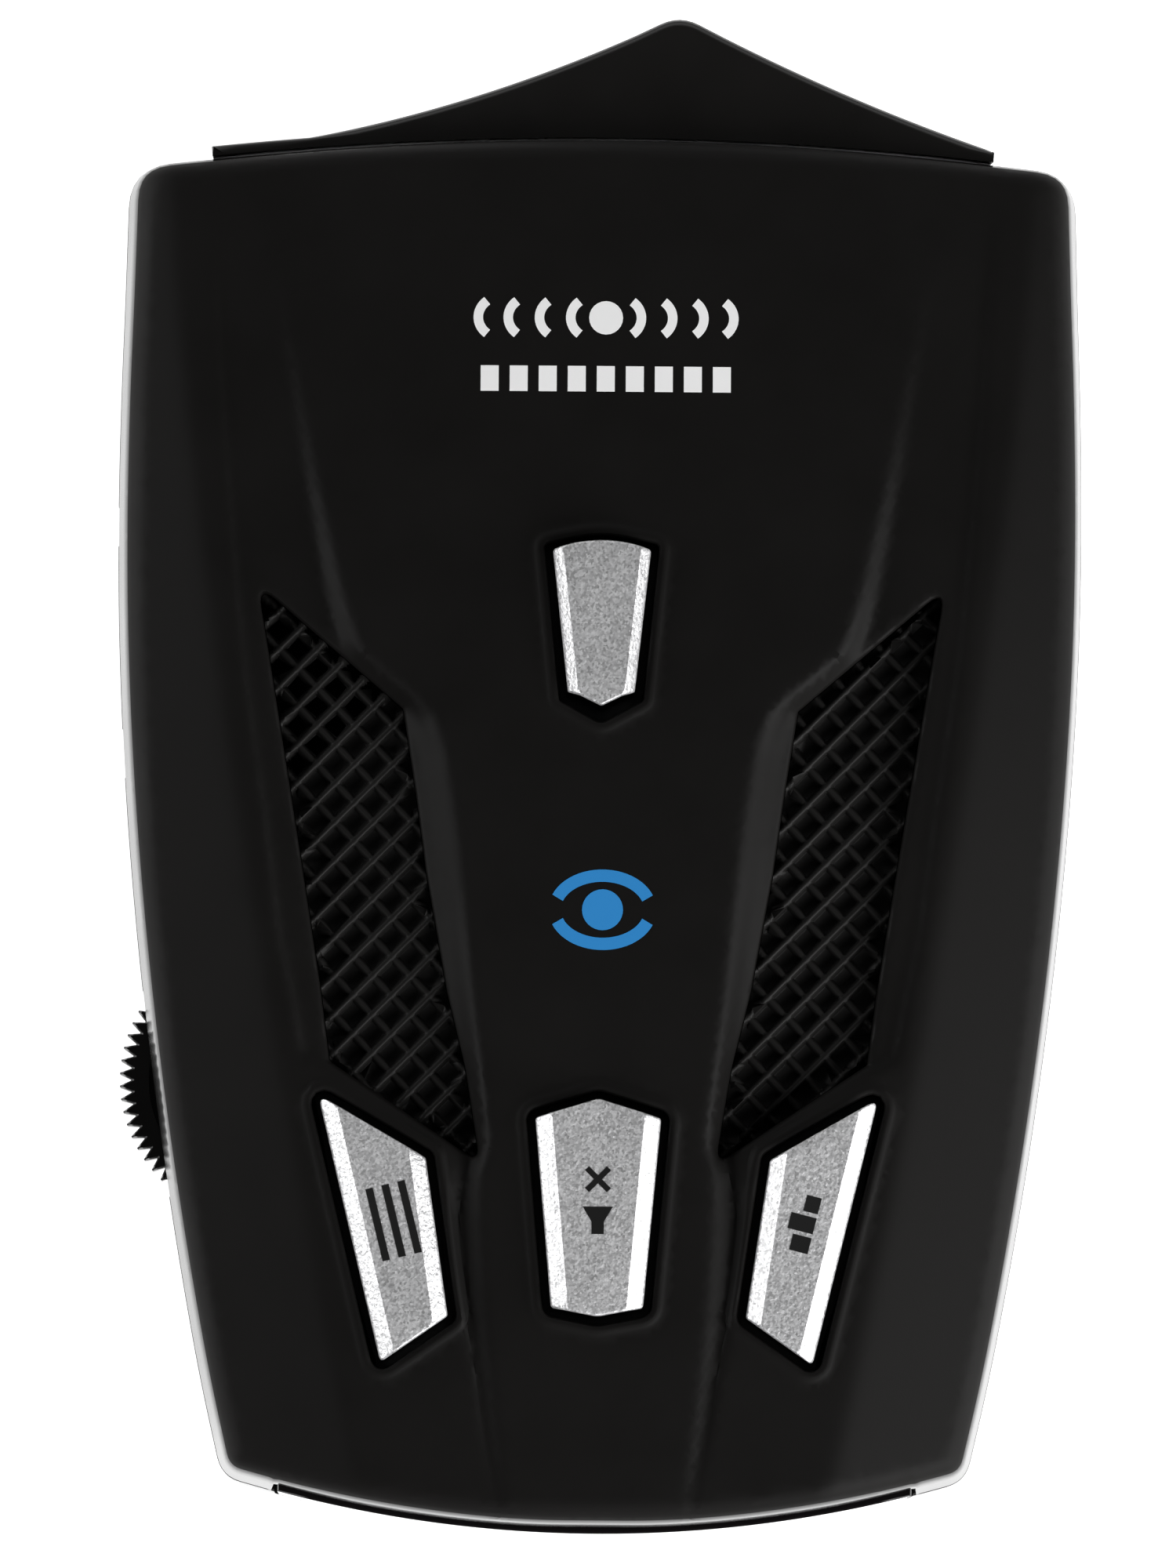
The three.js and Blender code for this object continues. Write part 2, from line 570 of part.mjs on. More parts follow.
const wheelAxis = new THREE.Group();
wheelAxis.position.set(WHEEL.x, WHEEL.y, WHEEL.bottom);
detector.add(wheelAxis);
const potBottom = BOARD_Z - WHEEL.bottom - SOLDER_GAP - 2.2;
const potBody = block(0, 0, potBottom, 9.6, 9.6, 2.2).subtract(disc(0, 0, 0, potBottom + 1.4, 2.3, 20));
place('thumbwheel', thumbwheel(), mouldedBlack, [0, 0, 0], [0, 0, 0], wheelAxis);
place('volume_shaft', disc(0, 0, 0.9, potBottom + 1.2, 2, 16).subtract(disc(0, 0, 0, 3, 0.75, 8)),
  castZinc, [0, 0, 0], [0, 0, 0], wheelAxis);
place('thumbwheel_screw', screw(2.6, 0.75, 0.65, 1.9), steel, [0, 0, 0.8], [0, 0, 0], wheelAxis);
place('volume_control', potBody, chipBlack, [0, 0, 0], [0, 0, 0], wheelAxis);

place('main_board', mainBoard(), boardGreen);
place('horn_antenna', hornTray(), castZinc);
place('horn_lid', hornLid(), castZinc);
place('mixer_board', block(0, 20, 14.6, 14, 16, 0.8), boardGreen);
place('laser_lens', laserLens(), clearLens, [LASER.x, LASER.y, LASER.z], [Math.PI / 2, 0, 0]);
place('laser_sensor', block(LASER.x, 30.5, BOARD_TOP + SOLDER_GAP, 4.4, 3, 4), chipBlack);

place('display_board', block(0, -48.6, 5.2, 44, 1.2, 15.4), boardGreen);
place('display_module', block(0, -50.1, 8, 38, 1.6, 11.5), glossBlack);
const bezel = block(0, -50.4, 7, 43, 1.6, 13.6).subtract(block(0, -50.4, 7.8, 38.6, 4, 11.9));
place('display_bezel', bezel, chipBlack);
place('display_header', block(0, -45.9, BOARD_TOP + SOLDER_GAP, 20, 3.8, 2.4), chipBlack);

const speaker = new THREE.Group();
speaker.position.set(SPEAKER.x, SPEAKER.y, BOARD_TOP + SOLDER_GAP);
detector.add(speaker);
place('speaker_frame', speakerFrame(), steel, [0, 0, 0], [0, 0, 0], speaker);
place('speaker_magnet', disc(0, 0, 0.65, 2.2, 4.6, 24), castZinc, [0, 0, 0], [0, 0, 0], speaker);
place('speaker_cone', speakerCone(), paper, [0, 0, 0], [0, 0, 0], speaker);
place('speaker_gasket', speakerGasket(), foam, [0, 0, 4], [0, 0, 0], speaker);

const jackX = -31.6;
const powerJack = socket(11, 8.6, 7, 2.8, 2.1);
const audioJack = socket(11.5, 6.4, 6.6, 2.6, 1.8);
place('power_socket', powerJack, chipBlack, [jackX, POWER_SOCKET_Y, SOCKET_Z]);
place('audio_socket', audioJack, chipBlack, [jackX, AUDIO_SOCKET_Y, SOCKET_Z]);

place('processor', block(16, 3, BOARD_TOP + SOLDER_GAP, 10, 10, 1.4), chipBlack);
place('audio_amplifier', block(-6.6, 20, BOARD_TOP + SOLDER_GAP, 4.9, 3.9, 1.5), chipBlack);
place('power_regulator', block(17.5, -14, BOARD_TOP + SOLDER_GAP, 6.5, 6.1, 2.3), chipBlack);
place('crystal', block(6, -6, BOARD_TOP + SOLDER_GAP, 4.5, 11, 3.4), steel);
place('rf_shield', block(15, 18, BOARD_TOP + SOLDER_GAP, 14, 11, 3).subtract(
  block(15, 18, 0, 13.4, 10.4, BOARD_TOP + SOLDER_GAP + 2.7)), steel);
for (const [i, x] of [8, 13].entries()) {
  place(`capacitor_${i + 1}`, disc(x, -20.5, BOARD_TOP + SOLDER_GAP, 22, 2, 16), canAluminium);
}

CASE_SCREWS.forEach(([x, y], i) => {
  place(`case_screw_${i + 1}`, screw(2.4, 1.6, 1.2, 16), steel, [x, y, 3.9]);
});
BOARD_SCREWS.forEach(([x, y], i) => {
  place(`board_screw_${i + 1}`, screw(1.9, 1.3, 0.9, 4.8), steel, [x, y, BOARD_Z - 0.05]);
});
HORN_SCREWS.forEach(([x, y], i) => {
  const flip = [Math.PI, 0, 0];
  place(`horn_screw_${i + 1}`, screw(1.7, 1.1, 0.8, 4), steel, [x, y, HORN.top + HORN.lid + 0.05], flip);
});

export default detector;
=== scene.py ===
"""Radar detector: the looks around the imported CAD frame.

The outlines and heights below are in millimetres, in the row frame: +Z up through the cover,
+Y towards the road, -Y towards the driver. Meshes are turned into metres when they are made.
"""

import json
import math
from functools import partial

import bmesh
import bpy
import numpy as np
from mathutils import Euler, Matrix, Vector, geometry, kdtree


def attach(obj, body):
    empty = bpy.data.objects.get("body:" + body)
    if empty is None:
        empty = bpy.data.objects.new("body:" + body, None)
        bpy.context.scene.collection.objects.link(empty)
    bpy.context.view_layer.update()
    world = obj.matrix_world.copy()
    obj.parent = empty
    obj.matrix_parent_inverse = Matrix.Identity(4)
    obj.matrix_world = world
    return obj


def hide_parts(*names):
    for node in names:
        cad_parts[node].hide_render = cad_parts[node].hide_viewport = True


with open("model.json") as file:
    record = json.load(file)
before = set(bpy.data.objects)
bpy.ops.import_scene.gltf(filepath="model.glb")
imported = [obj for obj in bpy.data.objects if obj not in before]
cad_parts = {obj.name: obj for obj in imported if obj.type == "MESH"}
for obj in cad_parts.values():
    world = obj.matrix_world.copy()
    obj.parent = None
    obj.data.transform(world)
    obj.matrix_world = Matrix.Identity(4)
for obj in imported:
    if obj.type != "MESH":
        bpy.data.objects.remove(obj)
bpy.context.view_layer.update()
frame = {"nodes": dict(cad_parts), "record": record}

MM = 0.001

# ---------------------------------------------------------------- driving dimensions

REAR_Y = -55.4  # the display face, on the centre line
FRONT_Y = 48  # the front wall, on the centre line
HALF_WIDTH = 35.75
WIDEST_Y = 18
REAR_RADIUS = 93  # of the display face, seen from above
SPLIT_Z = 15  # where the two covers meet
SHELL_GAP = 0.15  # from that height to each cover
WALL = 1.9
FLOOR = 2
BRIM_INSET = 0.6  # the cover's top edge is this much inside the widest line
EDGE_RADIUS = 1.5

# The crowned top: its highest place, and how far it falls from there.
CREST_Z = 27.6
CREST_Y = -8
FRONT_DROP = 4
REAR_DROP = 1.6
CROSS_DROP = 1.1
FLANK_SLOPE = 0.3

# Relief against the crown, as (place along Y, amount). The hood rises above the crown. The valley beside
# it is deepest at the hood's foot and ends at the crease, in a step up to the crown.
HOOD_RISE = ((-56, 0), (-50, 0.2), (-30, 0.4), (-24, 0.6), (6, 0.6), (16, 0.34), (28, 0.12), (38, 0))
VALLEY_DEPTH = ((-54, 0), (-49, 0.2), (-40, 0.42), (-29, 0.6), (-23, 1.15), (4, 1.2), (13, 0.6), (24, 0.25),
                (38, 0))
STEP_DEPTH = ((-30, 0), (-27, 0.2), (-21, 0.35), (13, 0.32), (36, 0.22), (43, 0))
CREASE_WIDTH = 0.3  # of that step
CREASE_EASE = 0.3  # how far each crease is softened to either side

CAP_BASE_Z = 22.9  # the top of the flange round each cap's foot
CAP_EDGE = 0.16  # radius round a cap's top
FACET_FALL = 0.85  # a cap's side facets end this much lower than its top
PAINT_DEPTH = 0.7  # how far the silver runs down a cap's side; the rest is bare black plastic
BUTTON_GAP = 0.65  # from a cap to the edge of its opening
LIP = {"rise": 0.2, "flat": 0.45, "end": 0.95, "radius": 0.28}  # the raised rim round each button
WHEEL = {"x": -24.95, "y": -21.9, "radius": 10.4, "teeth": 67, "tooth": 0.87, "bottom": 10.2, "thick": 3.0}
SOCKET_Z = 12.2
SOCKET_HOLES = [(2.2, 3.1), (19.05, 2.9)]  # y and radius: power, audio
WINDOW = {"half": 23.3, "bottom": 5.5, "top": 20.6, "thick": 1.5}
WINDOW_GAP = 0.3  # round the window in both covers
BRACKET = {"width": 24, "tall": 5, "bottom": 3.4}
VISOR = {"left": -29, "right": 28.9, "peak": 5.6, "peak_radius": 3.2, "bottom": 9, "top": 21.4, "bevel": 0.55}
VISOR_GAP = 0.12  # from the front wall to the visor's back
# The grilles: "top" is the rib tops' height against the crown, "centre" the middle of one cell.
LATTICE = {"pitch": 2.0, "top": -1.8, "thick": 0.6, "centre": (20.85, 5.15)}
# A rib's height above the cell floor, as (distance from its middle, height).
RIB_PROFILE = ((0, 0.8), (0.1, 0.78), (0.2, 0.67), (0.29, 0.4), (0.37, 0.04), (0.45, 0))
CROSS_RIB = 0.88  # height of the crossing ribs against the ribs that lead towards the nose
CASE_SCREWS = [(28.2, 32.5), (-28.2, 32.5), (22.3, -43.3), (-22.3, -43.3)]
SCREW_BOSS = {"radius": 3.3, "head_radius": 2.7, "head_depth": 4, "shank_radius": 1.5}

# ---------------------------------------------------------------- plan outlines


def rounded(corners, default_radius=0.0, steps=6):
    """A dense closed loop from corners (x, y[, radius]), each corner turned into a smooth bend."""
    loop = []
    count = len(corners)
    for i, corner in enumerate(corners):
        here = np.array(corner[:2], float)
        radius = corner[2] if len(corner) > 2 else default_radius
        back = np.array(corners[i - 1][:2], float) - here
        ahead = np.array(corners[(i + 1) % count][:2], float) - here
        back_length = np.linalg.norm(back)
        ahead_length = np.linalg.norm(ahead)
        back /= back_length
        ahead /= ahead_length
        half_angle = math.acos(np.clip(back @ ahead, -1, 1)) / 2
        reach = min(radius / math.tan(half_angle), 0.49 * back_length, 0.49 * ahead_length)
        if reach < 1e-4:
            loop.append(here)
            continue
        start = here + back * reach
        end = here + ahead * reach
        for step in range(steps + 1):
            t = step / steps
            loop.append((1 - t) ** 2 * start + 2 * t * (1 - t) * here + t * t * end)
    return np.array(loop)


def resampled(loop, spacing):
    """The same closed loop with no two points further apart than the spacing."""
    points = []
    for a, b in zip(loop, np.roll(loop, -1, 0)):
        pieces = max(1, math.ceil(np.linalg.norm(b - a) / spacing))
        for k in range(pieces):
            points.append(a + (b - a) * k / pieces)
    return np.array(points)


def with_points(loop, extra):
    """The loop with each extra point set into its nearest edge."""
    for point in np.array(extra):
        middles = (loop + np.roll(loop, -1, 0)) / 2
        nearest = np.argmin(((middles - point) ** 2).sum(1))
        loop = np.insert(loop, nearest + 1, point, axis=0)
    return loop


def normals_of(loop):
    """Outward normals of an anticlockwise loop."""
    tangent = np.roll(loop, -1, 0) - np.roll(loop, 1, 0)
    tangent /= np.maximum(1e-9, np.linalg.norm(tangent, axis=1))[:, None]
    return np.column_stack([tangent[:, 1], -tangent[:, 0]])


def grown(loop, distance):
    return loop + normals_of(loop) * distance


def mirrored(corners):
    return [(-c[0], *c[1:]) for c in reversed(corners)]


def side_x(y):
    """Half the body's width, which falls off slowly towards the road and faster towards the driver."""
    if y > WIDEST_Y:
        return HALF_WIDTH - 0.0012 * (y - WIDEST_Y) ** 2
    return HALF_WIDTH - 0.00318 * (WIDEST_Y - y) ** 1.85


def front_y(x):
    return FRONT_Y - 0.00193 * x * x


def rear_y(x):
    return REAR_Y + REAR_RADIUS - math.sqrt(REAR_RADIUS**2 - x * x)


def body_outline(grow=0.0):
    right = [(x, rear_y(x)) for x in (5, 11, 17, 22.5)] + [(27.5, rear_y(27.5), 2.4)]
    right += [(side_x(y), y) for y in range(-44, 38, 8)]
    right += [(35.1, 45.8, 3.4)] + [(x, front_y(x)) for x in (27, 19, 11, 4)]
    loop = rounded(right + mirrored(right), default_radius=400)
    return grown(resampled(loop, 0.9), grow)


# The raised hood's top edge, the foot of its slope, and the crease outside the valley,
# each for the +X side from the display end to the road end.
HOOD_EDGE = [(6.0, -60), (6.4, -53.5), (7.1, -48), (7.7, -42), (8.2, -35), (8.5, -29.5, 1), (8.0, -27.3, 1),
             (9.1, -16.5), (9.5, -11.3), (10.2, -4), (11.2, 2.2, 1), (12.2, 4.6, 1), (17.4, 8.9, 1),
             (18.7, 12.7), (19.8, 17.5), (21.0, 23), (22.2, 29), (23.0, 33), (24.0, 39), (24.6, 60)]
HOOD_FOOT = [(6.6, -60), (7.0, -53.5), (7.6, -50), (8.1, -48), (8.8, -44), (9.45, -40.6), (9.9, -36),
             (10.2, -32), (9.6, -29, 0.6), (8.7, -26.4, 0.6), (9.7, -21.4), (11.0, -15.9), (12.6, -7.1),
             (13.4, -1.3), (14.3, 4.9, 0.6), (19.2, 9.3, 0.6), (20.3, 13.2), (21.1, 17.5), (22.1, 23),
             (23.0, 29), (23.7, 33), (24.4, 39), (24.9, 60)]
CREASE = [(7.0, -60), (7.4, -53.5), (8.2, -49), (9.0, -42.7), (9.9, -38), (10.8, -32.1), (10.7, -29, 0.8),
          (11.3, -27.0, 0.6), (19.4, -21.4, 0.6), (21.5, -20.5, 0.8), (22.4, -15.6), (23.3, -11.8),
          (24.4, -3), (25.1, 1.5), (26.1, 8.5), (26.9, 17.2), (27.5, 24), (28.0, 31), (28.3, 36),
          (28.6, 42.4), (28.8, 60)]
GRILLE = [(8.6, -28.4, 0.6), (19.7, -21, 0.5), (20.4, -15.6), (22.3, -3.7), (24.4, 9),
          (25.3, 14.2, 0.7), (14.5, 5, 0.4), (13.5, -1.3), (12.7, -7.1), (11.1, -15.9), (9.75, -21.3)]

# Each cap: its rise above the crown, the width of its facets, its outline, its two faceted sides,
# and the opening where that isn't just the outline with an even gap.
BUTTONS = {
    "power": {
        "rise": 1.7,
        "facet": 0.75,
        "corners": [(-2.45, 6.15, 0.2), (-1.57, 5.87, 0.2), (0, 5.1, 0.3), (1.57, 5.87, 0.2),
                    (2.45, 6.15, 0.2), (3.6, 16.63, 0.3), (1.8, 17.15, 9), (0, 17.3, 9),
                    (-1.8, 17.15, 9), (-3.6, 16.63, 0.3)],
        "sides": [((2.45, 6.15), (3.6, 16.63)), ((-3.6, 16.63), (-2.45, 6.15))],
        "opening": [(-3.1, 5.5, 0.4), (0, 3.8, 1), (3.1, 5.5, 0.4), (4.25, 17.1, 0.5), (0, 18.0, 9),
                    (-4.25, 17.1, 0.5)],
    },
    "mute": {
        "rise": 1.7,
        "facet": 1.22,
        "corners": [(-3.36, -38.95, 0.3), (0, -39.6, 2), (3.36, -38.95, 0.3), (4.6, -25.1, 0.3),
                    (0, -23.7, 1), (-4.6, -25.1, 0.3)],
        "sides": [((3.36, -38.95), (4.6, -25.1)), ((-4.6, -25.1), (-3.36, -38.95))],
    },
    "city": {
        "rise": 1.0,
        "facet": 1.15,
        "corners": [(10.9, -39.6, 0.3), (15.8, -43, 0.3), (20.5, -23.5, 0.4), (12.6, -28.05, 0.3)],
        "sides": [((15.8, -43), (20.5, -23.5)), ((12.6, -28.05), (10.9, -39.6))],
    },
}
BUTTONS["menu"] = {
    **BUTTONS["city"],
    "corners": mirrored(BUTTONS["city"]["corners"]),
    "sides": [((-b[0], b[1]), (-a[0], a[1])) for a, b in BUTTONS["city"]["sides"]],
}

# ---------------------------------------------------------------- heights of the cover


def signed_distance(points, loop):
    """Distance from each point to a closed loop, positive inside it."""
    nearest = np.full(len(points), 1e12)
    inside = np.zeros(len(points), bool)
    for a, b in zip(loop, np.roll(loop, -1, 0)):
        edge = b - a
        along = np.clip(((points - a) @ edge) / max(edge @ edge, 1e-12), 0, 1)
        gap = points - a - along[:, None] * edge
        nearest = np.minimum(nearest, (gap**2).sum(1))
        if a[1] != b[1]:
            crosses = (a[1] > points[:, 1]) != (b[1] > points[:, 1])
            inside ^= crosses & (points[:, 0] < a[0] + (points[:, 1] - a[1]) * edge[0] / edge[1])
    return np.where(inside, 1, -1) * np.sqrt(nearest)


def ramp(value, *stops):
    """Straight-line values between stops of (place, amount)."""
    places, amounts = zip(*stops)
    return np.interp(value, places, amounts)


def mix(a, b, t):
    return a + (b - a) * t


def soft_step(t):
    t = np.clip(t, 0, 1)
    return t * t * (3 - 2 * t)


def crown(points):
    """The cover's smooth crowned surface, before any relief."""
    x = np.abs(points[:, 0])
    y = points[:, 1]
    shoulder = 31.8 - 0.0264 * np.maximum(0, 46 - y) ** 1.377  # outside it the flank falls faster
    softness = 0.3
    beyond = softness * np.logaddexp(0, (x - shoulder) / softness)
    front = y > CREST_Y
    run = np.where(front, 55, 47)  # the drops are reached this far from the crest
    drop = np.where(front, FRONT_DROP, REAR_DROP)
    return CREST_Z - drop * ((y - CREST_Y) / run) ** 2 - CROSS_DROP * (x / 30) ** 2 - FLANK_SLOPE * beyond


def both_sides(corners):
    """The closed line through the +X side's corners and their mirror images."""
    return rounded(corners + mirrored(corners), default_radius=30, steps=4)


def sharp_relief(points):
    """Height of the hood, its slope, the valley and the crease above the crowned surface."""
    y = points[:, 1]
    to_edge = signed_distance(points, both_sides(HOOD_EDGE))
    to_foot = signed_distance(points, both_sides(HOOD_FOOT))
    to_crease = signed_distance(points, both_sides(CREASE))
    rise = ramp(y, *HOOD_RISE)
    valley = -ramp(y, *VALLEY_DEPTH)
    step = -ramp(y, *STEP_DEPTH)
    slope = np.abs(to_edge) / np.maximum(1e-6, np.abs(to_edge) + np.abs(to_foot))
    slope = mix(slope, soft_step(slope), 0.6)
    bed = np.abs(to_foot) / np.maximum(1e-6, np.abs(to_foot) + np.abs(to_crease))
    height = mix(step, 0, soft_step(-to_crease / CREASE_WIDTH))
    height = np.where(to_crease > 0, mix(valley, step, bed), height)
    height = np.where(to_foot > 0, mix(rise, valley, slope), height)
    return np.where(to_edge > 0, rise, height)


def relief(points):
    """The relief with its creases eased, by averaging it over a small ring round each point."""
    turns = np.arange(6) / 6 * 2 * math.pi
    ring = [CREASE_EASE * np.array([math.cos(turn), math.sin(turn)]) for turn in turns]
    return (sharp_relief(points) + sum(sharp_relief(points + step) for step in ring)) / 7


def rounded_over(distance, radius):
    """Drop of a rounded edge at a distance inside it."""
    inset = np.clip(radius - distance, 0, radius)
    return radius - np.sqrt(radius**2 - inset**2)


def lip(distance):
    """The low raised rim round a button's opening."""
    rim = LIP["rise"] * (1 - soft_step((distance - LIP["flat"]) / (LIP["end"] - LIP["flat"])))
    return rim - rounded_over(np.maximum(distance, 0), LIP["radius"])


def opening_loops():
    """The openings in the cover: four buttons and two grilles, as name and loop."""
    loops = {}
    for name, button in BUTTONS.items():
        if "opening" in button:
            outline = rounded(button["opening"])
        else:
            outline = grown(rounded(button["corners"]), BUTTON_GAP)
        loops[name] = resampled(outline, 0.6)
    for name, side in (("right", GRILLE), ("left", mirrored(GRILLE))):
        loops[name] = resampled(rounded(side, default_radius=20), 0.7)
    return loops


OPENINGS = opening_loops()


def cover_height(points):
    height = crown(points) + relief(points)
    for name, loop in OPENINGS.items():
        outside = -signed_distance(points, loop)
        if name in BUTTONS:
            height += np.where(outside < LIP["end"], lip(outside), 0)
        else:
            height -= rounded_over(np.maximum(outside, 0), 0.3)
    return height


# ---------------------------------------------------------------- meshes


def mesh_object(name, vertices, faces, smooth=True):
    mesh = bpy.data.meshes.new(name)
    mesh.from_pydata([tuple(float(c) * MM for c in v) for v in vertices], [], [list(f) for f in faces])
    mesh.validate()
    mesh.update()
    for polygon in mesh.polygons:
        polygon.use_smooth = smooth
    made = bpy.data.objects.new(name, mesh)
    bpy.context.scene.collection.objects.link(made)
    return made


def triangulated(loops, scatter):
    """A plane triangulation that keeps every loop's edges and adds the scattered points."""
    points = []
    edges = []
    for loop in loops:
        first = len(points)
        points += [Vector(p) for p in loop]
        edges += [(first + i, first + (i + 1) % len(loop)) for i in range(len(loop))]
    points += [Vector(p) for p in scatter]
    flat, _, faces, *_ = geometry.delaunay_2d_cdt(points, edges, [], 0, 1e-5)
    return np.array([tuple(p) for p in flat]), [tuple(f) for f in faces]


def grid_points(low, high, spacing):
    xs = np.arange(low[0], high[0], spacing)
    ys = np.arange(low[1], high[1], spacing)
    rows = []
    for i, y in enumerate(ys):
        shift = spacing / 2 if i % 2 else 0
        rows.append(np.column_stack([xs + shift, np.full(len(xs), y)]))
    return np.vstack(rows)


def away_from(points, loops, clearance):
    """The points that are at least the clearance from every loop's own points."""
    placed = np.vstack(loops)
    tree = kdtree.KDTree(len(placed))
    for i, p in enumerate(placed):
        tree.insert((p[0], p[1], 0), i)
    tree.balance()
    keep = [tree.find((p[0], p[1], 0))[2] > clearance for p in points]
    return points[np.array(keep)]


def open_edges(faces):
    """Directed edges that only one face uses."""
    seen = {}
    for face in faces:
        for a, b in zip(face, face[1:] + face[:1]):
            seen[(a, b)] = True
    return [(a, b) for a, b in seen if (b, a) not in seen]


def skirted(vertices, faces, edges, rows):
    """Adds a wall below the given open edges. Each row maps an array of top points to lower ones."""
    vertices = list(map(tuple, vertices))
    faces = list(faces)
    rim = sorted({v for edge in edges for v in edge})
    top = np.array([vertices[v] for v in rim])
    above = {v: v for v in rim}
    for row in rows:
        below = {v: len(vertices) + i for i, v in enumerate(rim)}
        vertices += list(map(tuple, row(top)))
        faces += [(above[b], above[a], below[a], below[b]) for a, b in edges]
        above = below
    return vertices, faces, above


def add_modifier(target, kind, **settings):
    modifier = target.modifiers.new(kind.lower(), kind)
    for key, value in settings.items():
        setattr(modifier, key, value)
    return modifier


def apply_modifiers(target):
    graph = bpy.context.evaluated_depsgraph_get()
    finished = bpy.data.meshes.new_from_object(target.evaluated_get(graph))
    target.modifiers.clear()
    target.data = finished
    return target


def cut(target, cutter, operation="DIFFERENCE"):
    """Cuts the cutter out of the target, or joins it on, and removes the cutter."""
    add_modifier(target, "BOOLEAN", object=cutter, operation=operation, solver="EXACT")
    bpy.context.view_layer.update()
    apply_modifiers(target)
    bpy.data.objects.remove(cutter)
    return target


def block(low, high):
    (x0, y0, z0), (x1, y1, z1) = low, high
    corners = [(x, y, z) for z in (z0, z1) for x, y in ((x0, y0), (x1, y0), (x1, y1), (x0, y1))]
    faces = [(3, 2, 1, 0), (4, 5, 6, 7), (0, 1, 5, 4), (1, 2, 6, 5), (2, 3, 7, 6), (3, 0, 4, 7)]
    return mesh_object("block", corners, faces, smooth=False)


def stacked(name, rings, smooth=True):
    """A closed solid from rings of equal count, each (loop, z), bottom first, capped at both ends."""
    count = len(rings[0][0])
    vertices = [(p[0], p[1], z) for loop, z in rings for p in loop]
    faces = [tuple(reversed(range(count)))]
    for r in range(len(rings) - 1):
        for i in range(count):
            j = (i + 1) % count
            faces.append((r * count + i, r * count + j, (r + 1) * count + j, (r + 1) * count + i))
    top = (len(rings) - 1) * count
    faces.append(tuple(range(top, top + count)))
    return mesh_object(name, vertices, faces, smooth)


def circle(x, y, radius, sides=48):
    angles = np.arange(sides) / sides * 2 * math.pi
    return np.column_stack([x + radius * np.cos(angles), y + radius * np.sin(angles)])


def cylinder(x, y, bottom, top, radius, sides=48):
    loop = circle(x, y, radius, sides)
    return stacked("cylinder", [(loop, bottom), (loop, top)])


def lying_cylinder(from_x, to_x, y, z, radius, sides=48):
    ring = circle(0, 0, radius, sides)
    made = stacked("cylinder", [(ring, from_x), (ring, to_x)])
    laid = Euler((0, math.pi / 2, 0)).to_matrix().to_4x4()
    made.data.transform(Matrix.Translation((0, y * MM, z * MM)) @ laid)
    return made


def sharp_above(target, degrees):
    """Smooth shading, with edges sharper than the angle kept crisp."""
    for polygon in target.data.polygons:
        polygon.use_smooth = True
    target.data.set_sharp_from_angle(angle=math.radians(degrees))
    return target


# ---------------------------------------------------------------- materials


def material(name, color, roughness, metallic=0.0, grain=0.1, bump=0.1, mottle=0.15, depth=0.02, **sockets):
    """A procedural surface: fine grain in relief, and a slow mottle in its roughness and colour.

    grain is the relief's size in mm, bump its strength, depth its height in mm, and mottle the share
    by which roughness and colour wander.
    """
    made = bpy.data.materials.new(name)
    made.use_nodes = True
    nodes = made.node_tree.nodes
    links = made.node_tree.links
    shader = nodes["Principled BSDF"]
    shader.inputs["Metallic"].default_value = metallic
    for socket, value in sockets.items():
        shader.inputs[socket.replace("_", " ")].default_value = value
    place = nodes.new("ShaderNodeTexCoord")
    fine = nodes.new("ShaderNodeTexNoise")
    fine.inputs["Scale"].default_value = 1 / (grain * MM)
    fine.inputs["Detail"].default_value = 3
    links.new(place.outputs["Object"], fine.inputs["Vector"])
    raised = nodes.new("ShaderNodeBump")
    raised.inputs["Strength"].default_value = bump
    raised.inputs["Distance"].default_value = depth * MM
    links.new(fine.outputs["Fac"], raised.inputs["Height"])
    links.new(raised.outputs["Normal"], shader.inputs["Normal"])
    slow = nodes.new("ShaderNodeTexNoise")
    slow.inputs["Scale"].default_value = 140
    slow.inputs["Detail"].default_value = 6
    links.new(place.outputs["Object"], slow.inputs["Vector"])
    wander = nodes.new("ShaderNodeMapRange")
    wander.inputs["To Min"].default_value = roughness * (1 - mottle)
    wander.inputs["To Max"].default_value = roughness * (1 + mottle)
    links.new(slow.outputs["Fac"], wander.inputs["Value"])
    links.new(wander.outputs["Result"], shader.inputs["Roughness"])
    tint = nodes.new("ShaderNodeMix")
    tint.data_type = "RGBA"
    tint.inputs["A"].default_value = (*[c * (1 - mottle) for c in color], 1)
    tint.inputs["B"].default_value = (*[c * (1 + mottle) for c in color], 1)
    links.new(slow.outputs["Fac"], tint.inputs["Factor"])
    links.new(tint.outputs["Result"], shader.inputs["Base Color"])
    return made


def silver_paint():
    """Metallic paint over a spark-eroded texture: shallow lumps of a quarter millimetre."""
    made = material("silver_paint", (0.72, 0.72, 0.73), 0.4, 0.55, grain=0.3, bump=0.8, mottle=0.1,
                    depth=0.09)
    nodes = made.node_tree.nodes
    links = made.node_tree.links
    place = next(node for node in nodes if node.bl_idname == "ShaderNodeTexCoord")
    tint = next(node for node in nodes if node.bl_idname == "ShaderNodeMix")
    flakes = nodes.new("ShaderNodeTexVoronoi")
    flakes.inputs["Scale"].default_value = 1 / (0.16 * MM)
    links.new(place.outputs["Object"], flakes.inputs["Vector"])
    bright = nodes.new("ShaderNodeMapRange")
    bright.inputs["To Min"].default_value = 0.5
    bright.inputs["To Max"].default_value = 1.4
    links.new(flakes.outputs["Color"], bright.inputs["Value"])
    flecked = nodes.new("ShaderNodeVectorMath")
    flecked.operation = "SCALE"
    links.new(tint.outputs["Result"], flecked.inputs["Vector"])
    links.new(bright.outputs["Result"], flecked.inputs["Scale"])
    links.new(flecked.outputs["Vector"], nodes["Principled BSDF"].inputs["Base Color"])
    return made


